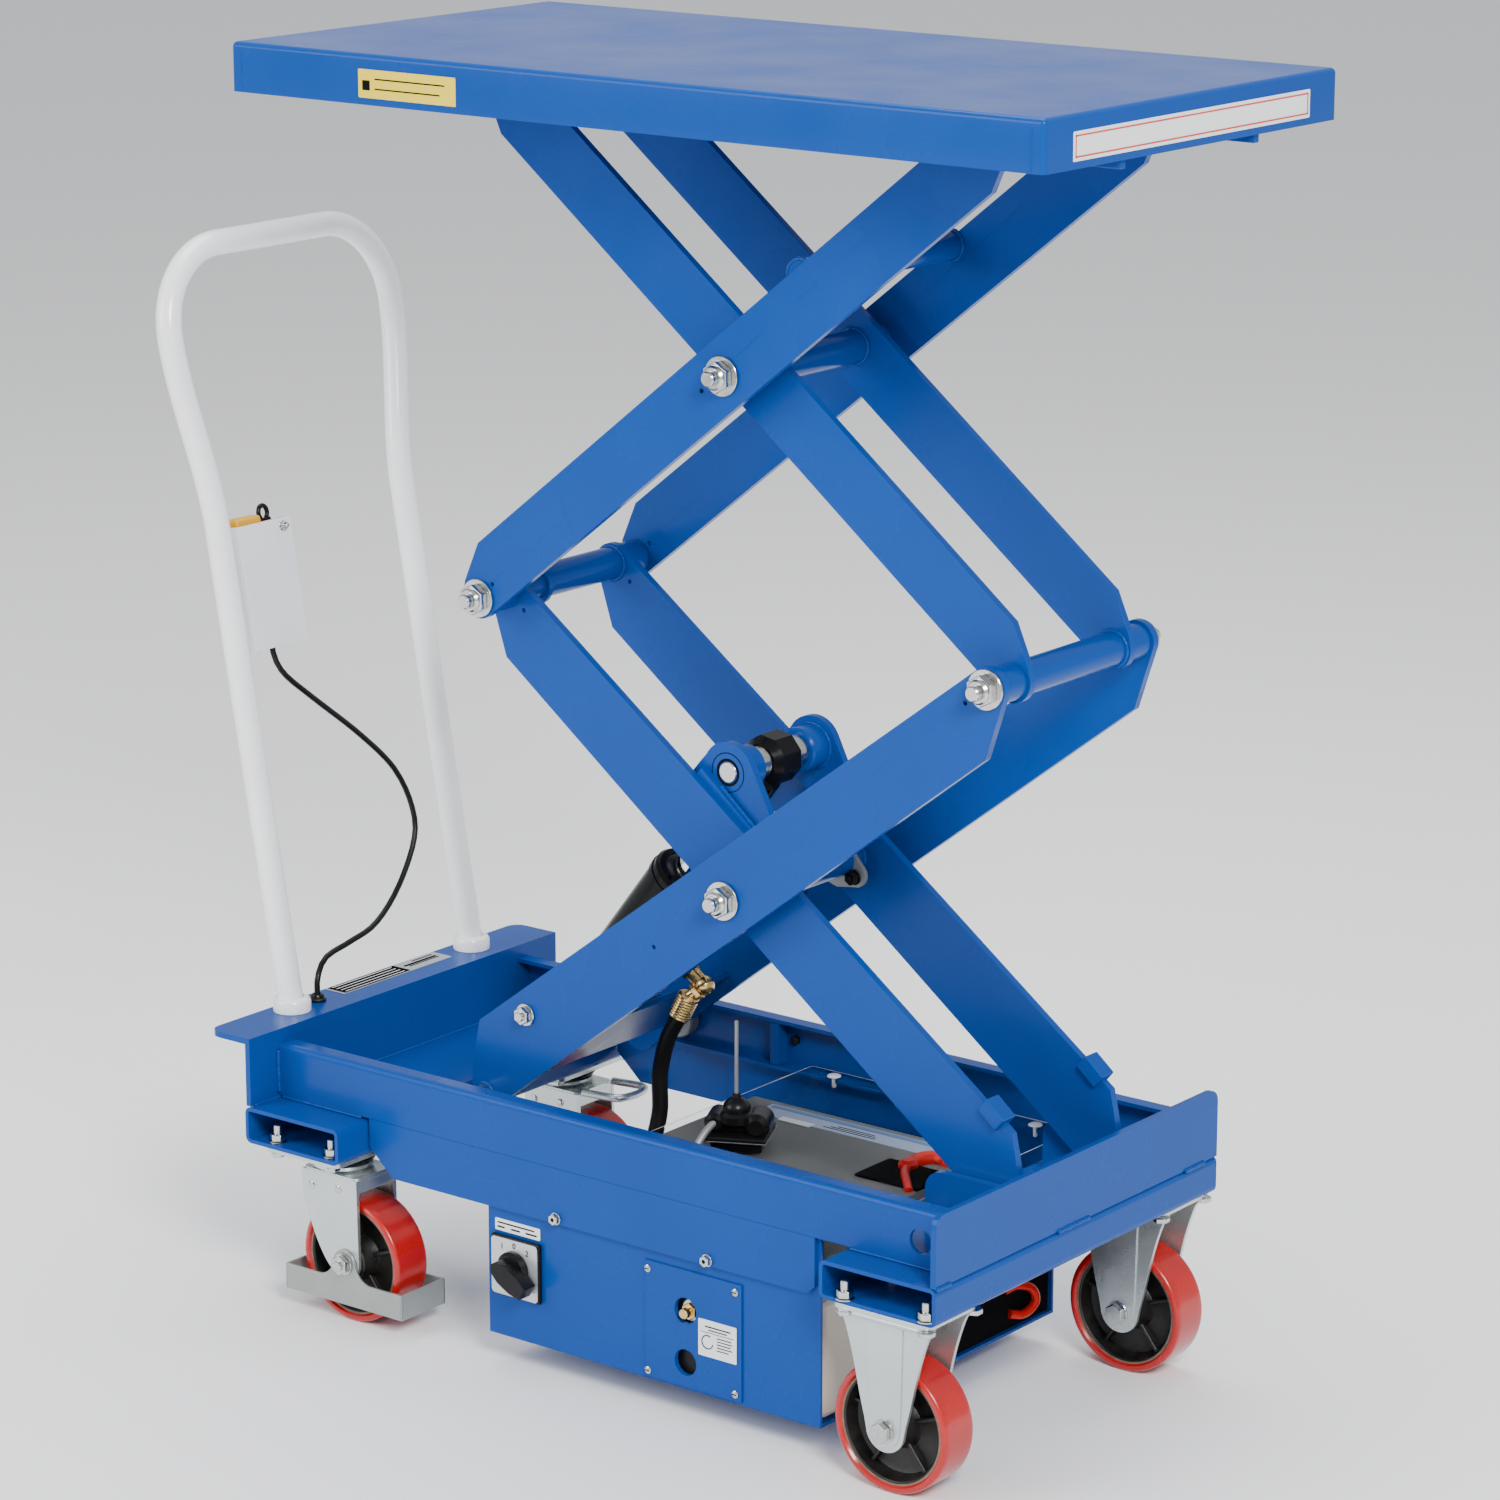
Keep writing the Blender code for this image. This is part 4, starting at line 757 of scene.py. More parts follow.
def hose_fittings(port, across):
    """Brass elbow from the barrel's port, and the ferrule at the top of the hose."""
    bend = port + across * 80 + Vector((4, 0, -1))
    start = Vector(HOSE_ROUTE[0])
    down = (start - bend).normalized()
    rod("port_boss", port + across * 26, port + across * 58, 12, "barrel", BLACK_PAINT)
    hexagon("elbow_hex", port + across * 58, port + across * 66, 19, "barrel", BLACK_PAINT)
    rod("elbow_arm", port + across * 64, bend, 8, "barrel", BRASS)
    ball_radius = 9.6
    ball = [(ball_radius * math.sin(math.pi * step / 14), -ball_radius * math.cos(math.pi * step / 14))
            for step in range(15)]
    lathe("elbow_ball", ball, bend, bend + down, "barrel", BRASS)
    hexagon("hose_nut", bend + down * 7, bend + down * 13, 17, "barrel", BRASS)
    rod("hose_stem", bend + down * 12, start, 6, "barrel", BRASS)
    ridges = [(0, -4), (8.8, -4), (10.6, -2)]
    for step in range(7):
        ridges += [(10.9, step * 3), (10.2, step * 3 + 1.5)]
    ridges += [(10.9, 21), (8.6, 23), (0, 23)]
    lathe("hose_ferrule", ridges, start, HOSE_ROUTE[1], "barrel", BRASS)


# ---------------------------------------------------------------- casters

def tyre_and_core(kind, side, centre, body):
    """Polyurethane tread with round shoulders, and a ribbed casting inside it."""
    centre = Vector(centre)
    half, shoulder = TREAD_HALF_WIDTH, 4.2
    outer = [(54.95, half - 2.6), (56.6, half - 0.3)]
    for turn in (0.0, 0.3, 0.6, 0.9, 1.2, 1.5):
        outer.append((WHEEL_RADIUS - shoulder + shoulder * math.sin(turn),
                      half - shoulder + shoulder * math.cos(turn)))
    outer.append((WHEEL_RADIUS, half - 8))
    tread = outer + [(radius, -height) for radius, height in reversed(outer)]
    lathe(f"{kind}_tread_{side}", tread, centre, centre + Vector((0, 1, 0)), body, RED,
          f"{kind}_tyre_{side}", steps=96, loop=True)
    upper = [(6.3, 24), (18, 24), (19.5, 22.5), (21, 9), (24, 5), (42, 4), (47, 6), (50.5, 14), (51.2, 18),
             (52.4, 19), (54.4, 19), (54.7, 18)]
    core = upper + [(radius, -height) for radius, height in reversed(upper)]
    lathe(f"{kind}_casting_{side}", core, centre, centre + Vector((0, 1, 0)), body, IRON,
          f"{kind}_core_{side}", steps=96, loop=True)
    for number in range(5):
        turn = Matrix.Translation(centre * MM) @ Matrix.Rotation(number * math.tau / 5 + 0.9, 4, "Y")
        block(f"{kind}_rib_{side}_{number}", (18, 50), (-11, 11), (-2, 2), body, IRON, edge=1.5,
              matrix=turn)
    for sign in (-1, 1):
        start = centre + Vector((0, sign * 24, 0))
        end = start + Vector((0, sign, 0))
        bearing = [(6.3, 0), (13, 0), (13, 0.9), (6.3, 0.9)]
        lathe(f"{kind}_bearing_{side}_{sign + 1}", bearing, start, end, body, GREY_STEEL, loop=True)
        start = centre + Vector((0, sign * 19, 0))
        end = start + Vector((0, sign, 0))
        rim = [(53.1, -0.6), (54.9, -0.6), (54.9, 0.35), (53.1, 0.35)]
        lathe(f"{kind}_rim_{side}_{sign + 1}", rim, start, end, body, RIM, steps=96, loop=True)


def curved_side(points):
    """Evenly spaced points on a smooth curve through flat points."""
    return [(point.x, point.y) for point in smooth_route([(x, z, 0) for x, z in points], 3.0)]


def swivel_leg(axle):
    """Upright leading edge, bowed trailing edge and a round foot."""
    x = axle[0]
    bow = [(-56, 134), (-55, 124), (-51, 110), (-45, 96), (-38.5, 81), (-30, 66), (-21, 55),
           (-12, 50.7)]
    side = curved_side([(x + offset, z) for offset, z in bow])
    return [(x + 15.6, 149.4), (x - 56, 149.4)] + side[:-1] + arc(axle, 17, 225, 358, 16)


def fixed_leg(axle):
    """Both edges curve in from the top plate to a round foot."""
    x = axle[0]
    bow = [(54, 171.6), (49, 165), (45, 155), (41, 143), (37, 129), (32.5, 110), (28, 90), (23, 71)]
    left = curved_side([(x - offset, z) for offset, z in bow])
    right = [(2 * x - px, z) for px, z in reversed(left)]
    return left + arc(axle, 21, 185, 355, 18) + right


def fork(kind, side, outline, axle, y, body, *nodes):
    """Both legs, and the axle bolt with its head and nut."""
    for number, offset in enumerate((-1, 1)):
        replaced = nodes if number == 0 else ()
        placing = upright(y + offset * (FORK_FACE - 2))
        sheet_metal(f"{kind}_leg_{side}_{number}", [outline], 4, placing, body, ZINC, *replaced, edge=1.6)
    out = Vector((0, 1, 0))
    centre = Vector((axle[0], y, axle[1]))
    reach = out * (FORK_FACE + 5)
    rod(f"{kind}_axle_{side}", centre - reach, centre + reach, 6, body, FASTENER)
    lift = 3.4 if kind == "swivel" else 1.8
    for number, offset in enumerate((-1, 1)):
        face = centre + out * offset * (FORK_FACE + lift)
        bolt(f"{kind}_axle_nut_{side}_{number}", face, out * offset, 18, 6.5, body,
             stud=2.5 if kind == "swivel" else 0)


def mounting_bolts(name, x_values, y_values, body):
    """Bolts through a cross tube's floor: heads below the plate and nuts inside the tube."""
    flats = 14.5
    nut_z, head_z = TUBE_BOTTOM_Z + 4, TUBE_BOTTOM_Z - 5.4
    for i, x in enumerate(x_values):
        for j, y in enumerate(y_values):
            bolt(f"{name}_nut_{i}{j}", (x, y, nut_z), (0, 0, 1), flats, 7.5, body, stud=9)
            bolt(f"{name}_head_{i}{j}", (x, y, head_z), (0, 0, -1), flats, 5, body, plate=False)


def swivel_caster(side, sign):
    """Top plate and races on the frame; fork, wheel and toe guard that turn under them."""
    x, y = SWIVEL_AXIS[0], sign * SWIVEL_AXIS[1]
    body = f"swivel_{side}"
    plate = rounded(x - 48, y - 62, x + 48, y + 62, 9)
    sheet_metal(f"swivel_top_plate_{side}", [plate], 5, flat(TUBE_BOTTOM_Z - 2.8), "base", ZINC,
                f"swivel_plate_{side}")
    race = [(0, 172), (33, 172), (35, 170), (35, 167), (31, 164), (28, 160), (0, 160)]
    lathe(f"swivel_race_{side}", race, (x, y, 0), (x, y, 1), "base", ZINC)
    lathe(f"swivel_seal_{side}", [(0, 163.5), (33, 163.5), (33.5, 162), (30, 158.9), (0, 158.9)],
          (x, y, 0), (x, y, 1), "base", BLACK)
    lathe(f"fork_race_{side}", [(0, 158.7), (28, 158.7), (31, 157), (31, 154), (27, 151), (0, 150)],
          (x, y, 0), (x, y, 1), body, ZINC)
    mounting_bolts(f"swivel_mount_{side}", (x - 35.5, x + 35.5), (y - 54, y + 54), "base")
    axle = (SWIVEL_AXLE_X, WHEEL_RADIUS)
    fork("swivel", side, swivel_leg(axle), axle, y, body, f"swivel_fork_{side}")
    crown = rounded(axle[0] - 55.5, y - FORK_FACE + 0.5, axle[0] + 15.5, y + FORK_FACE - 0.5, 7)
    sheet_metal(f"fork_crown_{side}", [crown], 5, flat(149), body, ZINC, edge=2.2)
    half = FORK_FACE - 0.6
    block(f"fork_front_{side}", (axle[0] + 11.5, axle[0] + 15.4), (y - half, y + half), (135, 149),
          body, ZINC, edge=1.6)
    for number, offset in enumerate((-1, 1)):
        for rivet_x, rivet_z in ((-324, 134), (-289, 137)):
            rivet(f"fork_rivet_{side}_{number}_{-rivet_x}", (rivet_x, y + offset * FORK_FACE, rivet_z),
                  (0, offset, 0), 4.2, body, FASTENER)
    tyre_and_core("swivel", side, (axle[0], y, axle[1]), f"swivel_wheel_{side}")
    toe_guard(side, axle, y, body)


def toe_guard(side, axle, y, body):
    """Strip loop round the wheel; each long side rises in a curve to the axle."""
    low_x, high_x, low_z, high_z = axle[0] - 78, axle[0] + 75, 20.0, 46.0
    inner, outer = FORK_FACE + 0.3, FORK_FACE + 3.0
    rise = 20.0
    outline = [(low_x, low_z), (high_x, low_z), (high_x, high_z)]
    outline += arc((axle[0] + 14 + rise, high_z + rise), rise, 270, 180, 8)
    outline += arc(axle, 14, 0, 180, 10)[1:-1]
    outline += arc((axle[0] - 14 - rise, high_z + rise), rise, 0, -90, 8)
    outline.append((low_x, high_z))
    for number, offset in enumerate((-1, 1)):
        nodes = (f"toe_guard_{side}",) if number == 0 else ()
        sheet_metal(f"guard_side_{side}_{number}", [outline], outer - inner,
                    upright(y + offset * (inner + outer) / 2), body, GREY_STEEL, *nodes, edge=0.6)
    for number, x in enumerate((low_x + 1.4, high_x - 1.4)):
        block(f"guard_end_{side}_{number}", (x - 1.4, x + 1.4), (y - outer, y + outer), (low_z, high_z),
              body, GREY_STEEL, edge=0.6)


def brake():
    """Wire foot lever on the far swivel caster."""
    x, y, z = SWIVEL_AXIS[0] + 46.5, SWIVEL_AXIS[1], 153.0
    half = [(0, 24, -1), (16, 24, 0), (34, 24, 1), (43, 22, 1), (48, 14, 1), (50, 0, 1)]
    route = [(x + along, y - across, z + up) for along, across, up in half]
    route += [(x + along, y + across, z + up) for along, across, up in reversed(half[:-1])]
    tube("brake_wire", smooth_route(route, 2.5), 4, "brake", ZINC, "brake_lever", resolution=6)


def fixed_caster(side, sign):
    """Top plate, fork with a raised band down each leg, and wheel."""
    x, y = FIXED_AXLE[0], sign * FIXED_AXLE[1]
    axle = (x, WHEEL_RADIUS)
    plate = rounded(x - 54, y - 39, x + 54, y + 39, 9)
    sheet_metal(f"fixed_top_plate_{side}", [plate], 5, flat(TUBE_BOTTOM_Z - 2.8), "base", ZINC,
                f"fixed_fork_{side}", edge=1.8)
    mounting_bolts(f"fixed_mount_{side}", (349, 439), (y - 36, y + 36), "base")
    fork("fixed", side, fixed_leg(axle), axle, y, "base")
    rib = [(x - 20, 169), (x - 18, 80), *arc(axle, 16.5, 180, 360, 16), (x + 18, 80), (x + 20, 169)]
    for number, offset in enumerate((-1, 1)):
        placing = upright(y + offset * (FORK_FACE + 0.3))
        sheet_metal(f"fixed_rib_{side}_{number}", [rib], 2.6, placing, "base", ZINC, edge=1.25)
        block(f"fork_skirt_{side}_{number}", (x - 50, x + 50), (y + offset * 25.5, y + offset * 37),
              (166, 172), "base", ZINC, edge=2.6)
    tyre_and_core("fixed", side, (x, y, WHEEL_RADIUS), f"fixed_wheel_{side}")


# ---------------------------------------------------------------- handle and pendant

def handle_point(y, z):
    """A point on the handle's leaning plane."""
    return (HANDLE_X0 - HANDLE_LEAN * z, y, z)


def handle():
    """Bent push handle with a collar at each foot."""
    foot_y, head_y, top_z, corner = 135.0, 159.0, 1029.0, 82.0
    low, high = 760.0, 947.0
    half = [(foot_y, SHELF_Z + 2), (foot_y, 500), (foot_y, low - 20)]
    steps = 16
    for step in range(steps):
        t = step / steps
        half.append((foot_y + (head_y - foot_y) * t * t * (3 - 2 * t), low + (high - low) * t))
    half += arc((head_y - corner, top_z - corner), corner, 0, 90, 20)
    route = [handle_point(-y, z) for y, z in half] + [handle_point(y, z) for y, z in reversed(half)]
    tube("push_handle", route, 12.7, "base", WHITE, "handle", resolution=10)
    for side, sign in SIDES.items():
        foot = Vector(handle_point(sign * foot_y, SHELF_Z))
        profile = [(12, 0), (19, 0), (19, 10), (17.5, 12.5), (14.5, 13.6), (12, 14)]
        lathe(f"foot_collar_{side}", profile, foot, foot + Vector((0, 0, 1)), "base", WHITE, loop=True)


def pendant_matrix():
    """Placing of the holder and hand control, leaning with the handle."""
    lean = math.atan(HANDLE_LEAN)
    return Matrix.Translation(Vector(handle_point(-84.95, 635)) * MM) @ Matrix.Rotation(-lean, 4, "Y")


def pendant_set():
    """Sheet holder, hand control with its hook eye, cord and grommet."""
    place = pendant_matrix()
    half = 36.95
    height, depth = (0, 124), (-11.6, 13.6)
    walls = {
        "front": ((13.5, 15), (-half, half), height),
        "back": ((-13, -11.5), (-half, half), height),
        "left": (depth, (-half, 1.5 - half), height),
        "right": (depth, (half - 1.5, half), height),
        "floor": (depth, (1.4 - half, half - 1.4), (0, 1.5)),
    }
    for name, limits in walls.items():
        nodes = ("pendant_holder",) if name == "front" else ()
        block(f"holder_{name}", *limits, "base", PALE, *nodes, edge=0.5, matrix=place)
    bolt("holder_bolt", (15, 24, 116), (1, 0, 0), 8, 4, "base", matrix=place, stud=3)
    block("pendant_body", (-10.5, 8), (-30, 30), (14, 123), "pendant", YELLOW, "pendant", edge=4,
          matrix=place)
    block("pendant_shoulder", (-10.5, 7), (-30, 6), (112, 131), "pendant", YELLOW, edge=4, matrix=place)
    eye = []
    for step in range(24):
        turn = math.radians(-50 + 12 * step)
        eye.append((-2, 17 + 6 * math.cos(turn), 131 + 7 * math.sin(turn)))
    hook = as_mesh(wire("pendant_hook", eye, 2.4, resolution=4))
    hook.data.shade_smooth()
    hook.matrix_world = place
    dress(hook, "pendant", BLACK)
    block("pendant_hook_foot", (-5, 1), (9, 25), (120, 126), "pendant", BLACK, edge=1, matrix=place)

    route = smooth_route(CORD_ROUTE, 9)
    cord_item = wire("control_cord", route, 3.0, resolution=5)
    dress(cord_item, "base", RUBBER, "pendant_cord")
    end_x, end_y, _ = CORD_ROUTE[-1]
    profile = [(3.8, 7), (5.5, 7), (6.5, 5.5), (7, 3), (9, 2), (9, 0), (3.8, 0)]
    lathe("cord_bush", profile, (end_x, end_y, SHELF_Z), (end_x, end_y, SHELF_Z + 1), "base", RUBBER,
          "cord_grommet", loop=True)


# ---------------------------------------------------------------- base details

def base_welds():
    """Weld beads, skirt bolts and inner tabs of the base frame."""
    weld("handle_seam", [(-370.6, -226, 214), (-370.6, 226, 214)], "base", 1.7)
    for number, (low, high) in enumerate(((-226, -205), (-38, 12), (172, 204))):
        weld(f"end_plate_weld_{number}", [(451, low, 213.4), (451, high, 213.4)], "base", 2.3)
    for side, sign in SIDES.items():
        face = sign * 191.2
        for number, (low, high) in enumerate(((-366, -262), (330, 438))):
            weld(f"beam_weld_{side}_{number}", [(low, face, 214.8), (high, face, 214.8)], "base", 1.4)
        corner = sign * 191.6
        weld(f"handle_corner_weld_{side}", [(-370, corner, 219), (-370, corner, 262)], "base", 2.2)
        weld(f"end_corner_weld_{side}", [(444.6, corner, 222), (444.6, corner, 262)], "base", 1.8)
        weld(f"bracket_weld_{side}", [(350, sign * 99, 215), (440, sign * 99, 215)], "base", 1.8)
        for number, x in enumerate((-16, 166)):
            bolt(f"skirt_bolt_{side}_{number}", (x, sign * 191.1, 166), (0, sign, 0), 10, 4, "base")
            # Painted shade: a flat dark disc on each bolt head stands in for the shade in its socket.
            rivet(f"skirt_bolt_socket_{side}_{number}", (x, sign * 196.4, 166), (0, sign, 0), 2.4, "base",
                  INK, 0.5)
        inner = sign * 186.8
        block(f"beam_tab_{side}", (-42, -31), (sign * 171.5, inner), (220.3, 264.2), "base", BLUE)
        bolt(f"beam_tab_bolt_{side}", (-20, inner, 246), (0, -sign, 0), 9, 4, "base", BLACK, plate=False)


def isolator():
    """Silver face with its three dial numbers, and the black bar knob."""
    face = BOX_FACE_Y - 5.3
    x, z = ISOLATOR
    outline = rounded(-95.5, 75.5, -38.5, 132.5, 4)
    sheet_metal("isolator_face", [outline], 0.8, upright(face - 0.3), "base", SILVER_LABEL, edge=0)
    for digit, offset_x, offset_z in (("1", -15, 20), ("0", 0, 23), ("2", 16, 19)):
        curve = bpy.data.curves.new(f"dial_{digit}", "FONT")
        curve.body = digit
        curve.size = 8 * MM
        curve.extrude = 0.15 * MM
        curve.align_x, curve.align_y = "CENTER", "CENTER"
        item = link(f"dial_{digit}", curve)
        item.matrix_world = (Matrix.Translation(Vector((x + offset_x, face - 0.9, z + offset_z)) * MM)
                             @ Matrix.Rotation(math.pi / 2, 4, "X"))
        dress(item, "base", INK)
    skirt = [(0, 0), (18, 0), (18, 4), (15.5, 6.5), (0, 7)]
    lathe("knob_skirt", skirt, (x, face - 1.1, z), (x, face - 2, z), "isolator", BLACK, "isolator_knob")
    grip = [(-7, -22), (7, -22), (10.5, -8), (10.5, 8), (7, 19), (0, 23), (-7, 19), (-10.5, 8),
            (-10.5, -8)]
    placing = upright(face - 11.5, (x + 6, z - 4), math.radians(60))
    sheet_metal("knob_grip", [grip], 17, placing, "isolator", BLACK, edge=1)
    label("isolator_label", (-95, BOX_FACE_Y, 137), (1, 0, 0), (0, 0, 1), (56, 12), (0, -1, 0), "base",
          LABEL, bars=[(3, 7.4, 46, 1.4), (3, 3, 9, 1.6), (20, 3, 11, 1.6), (38, 3, 14, 1.6)])


def panel_details():
    """Screws, fitting and label on the access panel, and a black sheet behind its holes as painted shade
    for the inside of the box.
    """
    face = BOX_FACE_Y - 2.0
    for number, (x, z) in enumerate(((93.5, 141), (197, 141), (93.5, 40), (197, 41))):
        rivet(f"panel_screw_{number}", (x, face, z), (0, -1, 0), 3.8, "base", FASTENER)
        # Painted shade: a thin dark bar on each screw head stands in for the shade in its slot.
        block(f"panel_screw_slot_shade_{number}", (x - 2.6, x + 2.6), (face - 1.8, face - 1.5),
              (z - 0.5, z + 0.5), "base", INK, edge=0)
    # Painted shade: a black sheet just behind the panel's holes stands in for the shade inside the box.
    block("panel_hole_shade", (110, 168), (-181, -177), (38, 130), "base", BLACK)
    centre = Vector((FITTING[0] + 2, BOX_FACE_Y + 7, FITTING[1] - 1))
    out = Vector((0, -1, 0))
    washer("fitting_washer", centre, centre + out * 2, 11, 6, "base")
    hexagon("fitting_hex", centre + out * 2, centre + out * 7, 15, "base", BRASS)
    rod("fitting_nose", centre + out * 6, centre + out * 15, 5, "base", BRASS, "oil_fitting")
    label("panel_label", (154, face, 70.5), (1, 0, 0), (0, 0, 1), (45, 36), (0, -1, 0), "base", LABEL,
          bars=[(8, 29, 30, 1.2), (12, 26, 22, 1.0), (22, 20, 17, 0.9), (22, 17, 18, 0.9),
                (22, 14, 16, 0.9), (22, 11, 18, 0.9), (22, 8, 14, 0.9), (3, 23.6, 39, 0.5)])
    ring = []
    for degrees in range(60, 350, 12):
        angle = math.radians(degrees)
        ring.append((165 + 6.5 * math.cos(angle), face - 0.8, 85 + 6.5 * math.sin(angle)))
    tube("panel_label_mark", ring, 0.5, "base", INK, resolution=2)


def battery():
    """Battery with its printed band, terminal lid, red terminal cap and cable loop."""
    block("battery_case", (-12, 284), (-60, 108), (160, BATTERY_TOP), "base", GREY, "battery", edge=3)
    block("battery_base", (-10, 282), (-58, 106), (36, 162), "base", GREY, edge=4)
    top = BATTERY_TOP
    label("battery_label", (20, 66, top), (1, 0, 0), (0, 1, 0), (236, 31), (0, 0, 1), "base", PALE_BLUE,
          bars=[(80, 6, 62, 1.2), (86, 10, 54, 1.2), (92, 14, 44, 1.2)])
    block("battery_band", (24, 252), (88, 95), (top + 0.4, top + 0.9), "base", BLUE_INK, edge=0)
    block("battery_patch", (52, 90), (62, 72), (top + 0.1, top + 0.9), "base", LABEL, edge=0)
    block("battery_lid", (208, 281), (-22, 34), (top - 1, top + 2.6), "base", INK, edge=1.2)
    cap = [(237, 24, 211.5), (234, 38, 211.6), (236, 50, 211.6), (244, 59, 211.6), (258, 60, 211.5)]
    cap_radius = 8.4
    tube("terminal_cap", smooth_route(cap, 3), cap_radius, "base", RED_PLASTIC, resolution=8)
    for number, (x, y, z) in enumerate((cap[0], cap[-1])):
        rod(f"terminal_cap_end_{number}", (x, y, z - 9), (x, y, z + cap_radius), 9.4, "base", RED_PLASTIC,
            edge=4)
    cable = [(238, 22, 213), (248, 4, 214), (262, -12, 213), (276, -28, 211)]
    tube("battery_cable", smooth_route(cable, 3), 4.2, "base", RED_PLASTIC, resolution=6)
    loop = [(291, 116, 50), (296, 134, 46), (299, 149, 55), (297, 145, 69), (293, 126, 77),
            (288, 112, 74)]
    tube("battery_loop", smooth_route(loop, 3), 4.5, "base", RED_PLASTIC, resolution=6)
    block("fuse_box", (284.5, 290), (-110, 184), (34, 150), "base", INK, edge=2)


def cover_details():
    """The clear cover's push rivets, and a pale wire along its edge as a painted highlight."""
    for number, (x, y) in enumerate(((38, 172), (280, 172), (38, -172), (280, -172), (300, 20))):
        rivet(f"cover_rivet_{number}", (x, y, COVER_TOP), (0, 0, 1), 7, "base", LABEL, 2.2)
        rod(f"cover_rivet_stem_{number}", (x, y, COVER_TOP - 12), (x, y, COVER_TOP), 2.2, "base", LABEL,
            steps=16)
    # Painted highlight: a thin pale wire along the cover's outline stands in for light caught on the clear
    # sheet's edge.
    rim = [(x, y, COVER_TOP - 0.4) for x, y in rounded(0.3, -185.7, 317.7, 185.7, 4)]
    tube("cover_edge_highlight", rim, 0.3, "base", LABEL, closed=True, resolution=2)


def limit_switch():
    """Switch on the clear cover: flange, lobed housing, boot, feeler rod and lead."""
    place = Matrix.Translation(SWITCH_PLACE * MM) @ Matrix.Rotation(SWITCH_TURN, 4, "Z")
    x, y = -2.0, -8.0
    stack = (("body", 25, 23, (213, 224.4), BLACK, 2), ("rim", 30.6, 28.6, (223.7, 225), FASTENER, 0.5),
             ("flange", 30, 28, (224.6, 229), RUBBER, 1.8), ("housing", 26, 14, (227, 247), RUBBER, 7))
    for name, half_x, half_y, height, finish, edge in stack:
        nodes = ("limit_switch",) if name == "body" else ()
        block(f"switch_{name}", (-half_x, half_x), (-half_y, half_y), height, "base", finish, *nodes,
              edge=edge, matrix=place)
    rod("switch_lobe_left", (-22, -19, 239), (-22, 15, 239), 10, "base", RUBBER, edge=4, matrix=place)
    rod("switch_lobe_right", (19, -21, 238), (19, 16, 238), 12.5, "base", RUBBER, edge=5, matrix=place)
    boot = [(0, 240), (16, 240), (16, 247), (13, 250), (13.5, 254), (12, 258), (8, 262), (4.5, 264),
            (3.5, 268), (0, 268)]
    lathe("switch_boot", boot, (x, y, 0), (x, y, 1), "base", RUBBER, matrix=place)
    rod("feeler_rod", (x, y, 262), (x, y, 340), 1.9, "base", GREY_STEEL, steps=20, matrix=place)
    lead = [(-22, -16, 240), (-28, -26, 234), (-35, -38, 222), (-40, -47, 208)]
    route = [place @ (point * MM) / MM for point in smooth_route(lead, 3)]
    tube("switch_lead", route, 3.6, "base", GREY_STEEL, resolution=5)


# ---------------------------------------------------------------- platform

def platform():
    """Folded sheet pan with rounded edges, welded corners and plain labels."""
    low, high = Vector((-365, -227, 1204.5)) * MM, Vector((549, 227, 1250.6)) * MM
    shape = box_shape(low, high)
    floor = [face for face in shape.faces if face.normal.z < -0.5]
    bmesh.ops.delete(shape, geom=floor, context="FACES_ONLY")
    edges = [edge for edge in shape.edges if len(edge.link_faces) == 2]
    bmesh.ops.bevel(shape, geom=edges, offset=5 * MM, segments=5, profile=0.5, affect="EDGES")
    pan = from_shape("platform_pan", shape)
    pan.data.shade_smooth()
    shell = pan.modifiers.new("sheet", "SOLIDIFY")
    shell.thickness = 4 * MM
    shell.offset = -1
    shell.use_even_offset = True
    pan.modifiers.new("even shading", "WEIGHTED_NORMAL")
    dress(pan, "platform", BLUE, "platform")
    for side, sign in SIDES.items():
        for number, x in enumerate((-352, 536)):
            weld(f"pan_weld_{side}_{number}", [(x, sign * 226.7, 1207), (x, sign * 226.7, 1245)],
                 "platform", 0.9)
        block(f"pan_gusset_{side}", (500, 544), (sign * 100, sign * 108), (1196, 1212), "platform", BLUE)
    label("platform_label", (-206, -227, 1211), (1, 0, 0), (0, 0, 1), (117, 26), (0, -1, 0), "platform",
          YELLOW_LABEL, bars=[(20, 17, 84, 1.3), (20, 8, 78, 1.3), (5, 7, 9, 9)])
    label("end_label", (549, -186, 1211), (0, 1, 0), (0, 0, 1), (367, 25), (1, 0, 0), "platform", LABEL,
          ink=RED_INK, border=True)


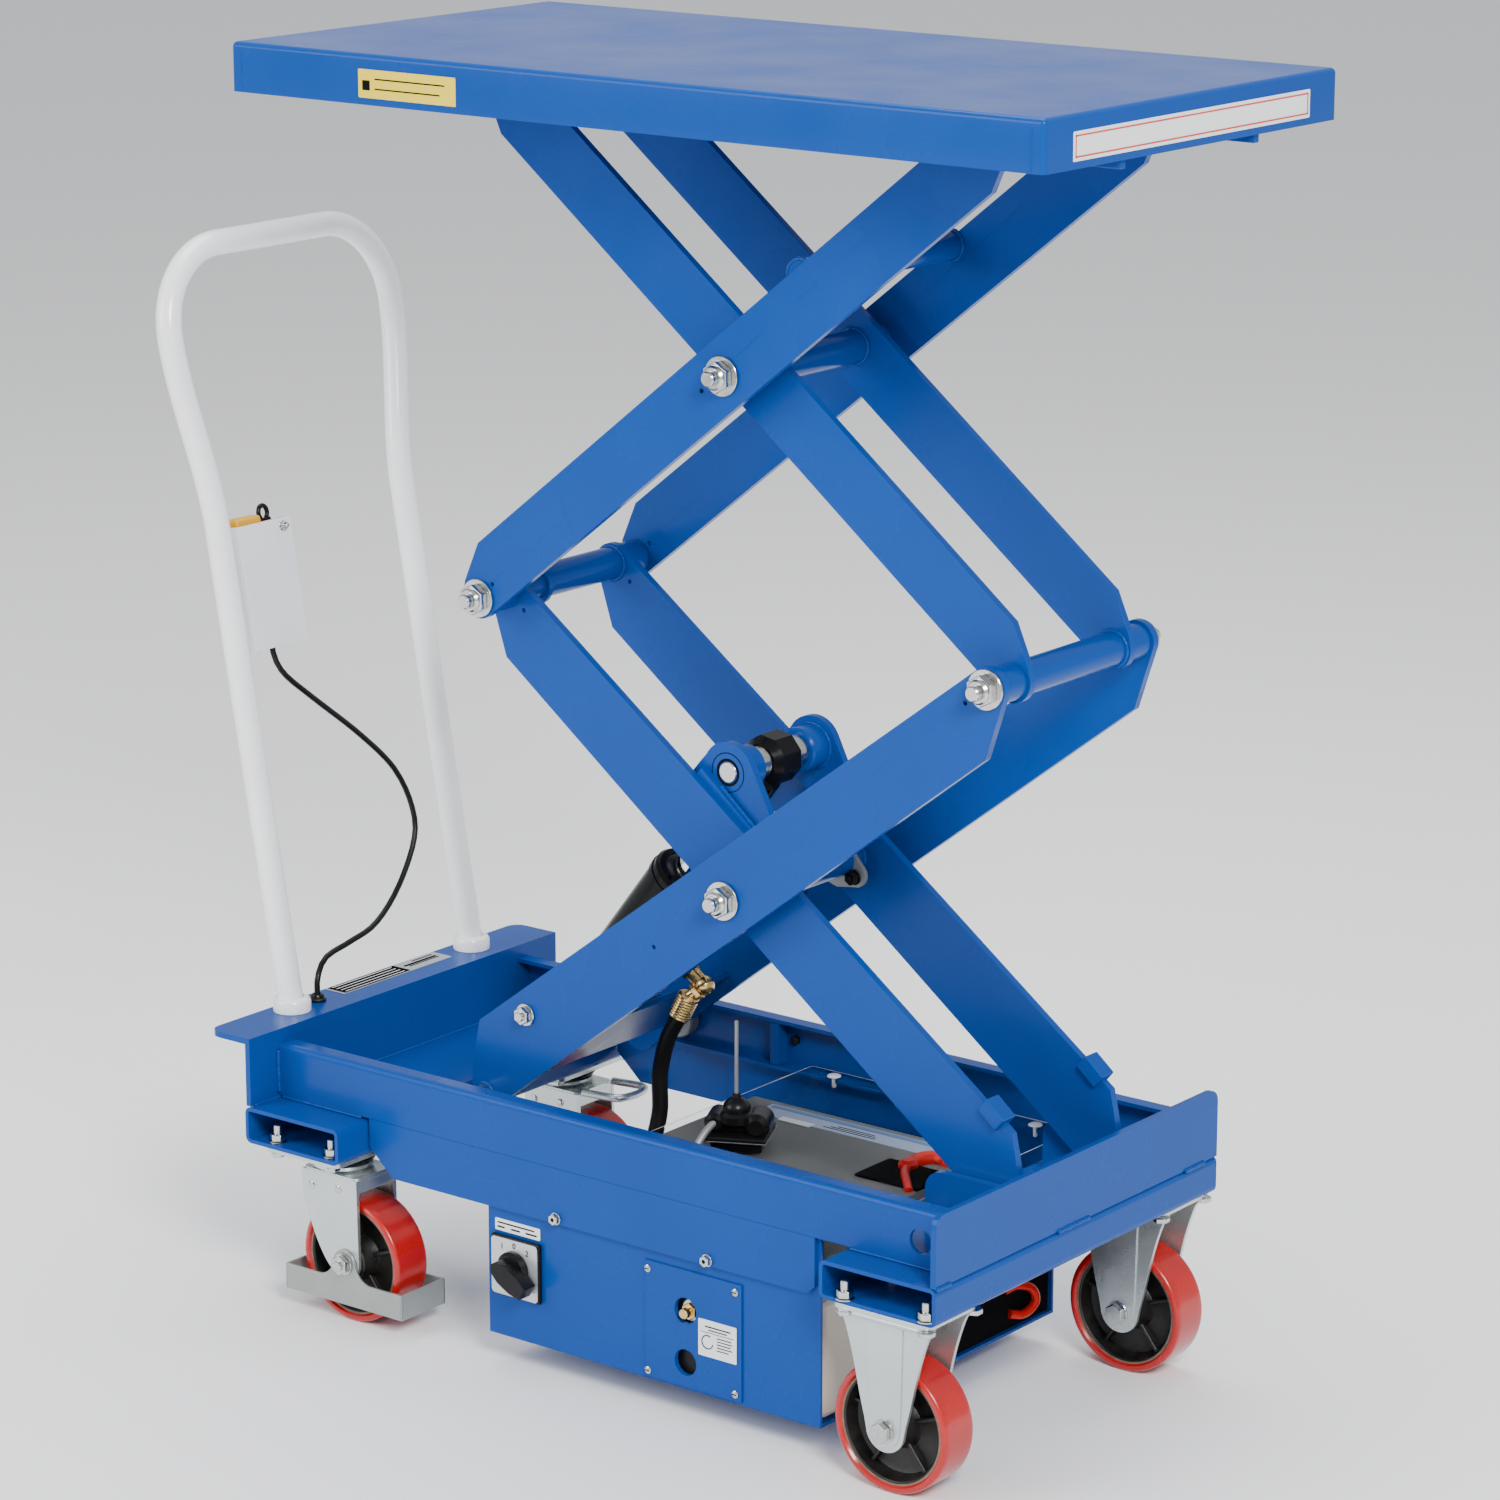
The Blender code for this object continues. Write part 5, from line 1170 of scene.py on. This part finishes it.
def name_plate():
    """Plate on the shelf: a dark block of plain rows beside a light one."""
    label("name_plate", (-425, 98, 282.6), (0, -1, 0), (1, 0, 0), (163, 27), (0, 0, 1), "base",
          SILVER_LABEL, bars=[(62, 1.5, 98, 24), (8, 15, 44, 1.4), (8, 10, 48, 3.4), (8, 5, 30, 1.4)])
    for number in range(4):
        x = -421 + number * 6
        block(f"name_plate_row_{number}", (x, x + 1), (-58, 30), (283.2, 283.5), "base", LABEL, edge=0)


# ---------------------------------------------------------------- stage

def soft_light(name, place, target, size, power):
    """A round area light aimed at a target, in metres and watts."""
    data = bpy.data.lights.new(name, "AREA")
    data.shape = "DISK"
    data.size = size
    data.energy = power
    item = link(name, data)
    item.location = place
    item.rotation_euler = (Vector(target) - Vector(place)).to_track_quat("-Z", "Y").to_euler()


def stage():
    """Pale floor, soft lights and the camera."""
    shape = bmesh.new()
    bmesh.ops.create_grid(shape, x_segments=1, y_segments=1, size=FLOOR_HALF_M)
    floor = from_shape("floor", shape)
    material = bpy.data.materials.new("pale floor")
    material.use_nodes = True
    set_inputs(material.node_tree.nodes["Principled BSDF"],
               {"Base Color": (0.96, 0.96, 0.96, 1), "Roughness": 0.8})
    floor.data.materials.append(material)
    world = bpy.context.scene.world or bpy.data.worlds.new("studio")
    bpy.context.scene.world = world
    world.use_nodes = True
    set_inputs(world.node_tree.nodes["Background"], {"Color": (0.95, 0.97, 1.0, 1), "Strength": 0.7})
    for light in LIGHTS:
        soft_light(*light)
    data = bpy.data.cameras.new("camera")
    data.sensor_width = CAMERA_SENSOR_MM
    data.lens = CAMERA_LENS_MM
    data.shift_y = CAMERA_SHIFT
    camera = link("camera", data)
    camera.location = CAMERA_PLACE_M
    camera.rotation_euler = CAMERA_TURN
    bpy.context.scene.camera = camera


# ---------------------------------------------------------------- assembly

stage()
dress_kept_nodes()
platform()
lower_outer_arms()
lower_inner_arms()
upper_outer_arms()
upper_inner_arms()
rollers()
hydraulics()
for side_name, side_sign in SIDES.items():
    swivel_caster(side_name, side_sign)
    fixed_caster(side_name, side_sign)
brake()
battery()
handle()
pendant_set()
base_welds()
isolator()
panel_details()
cover_details()
limit_switch()
name_plate()
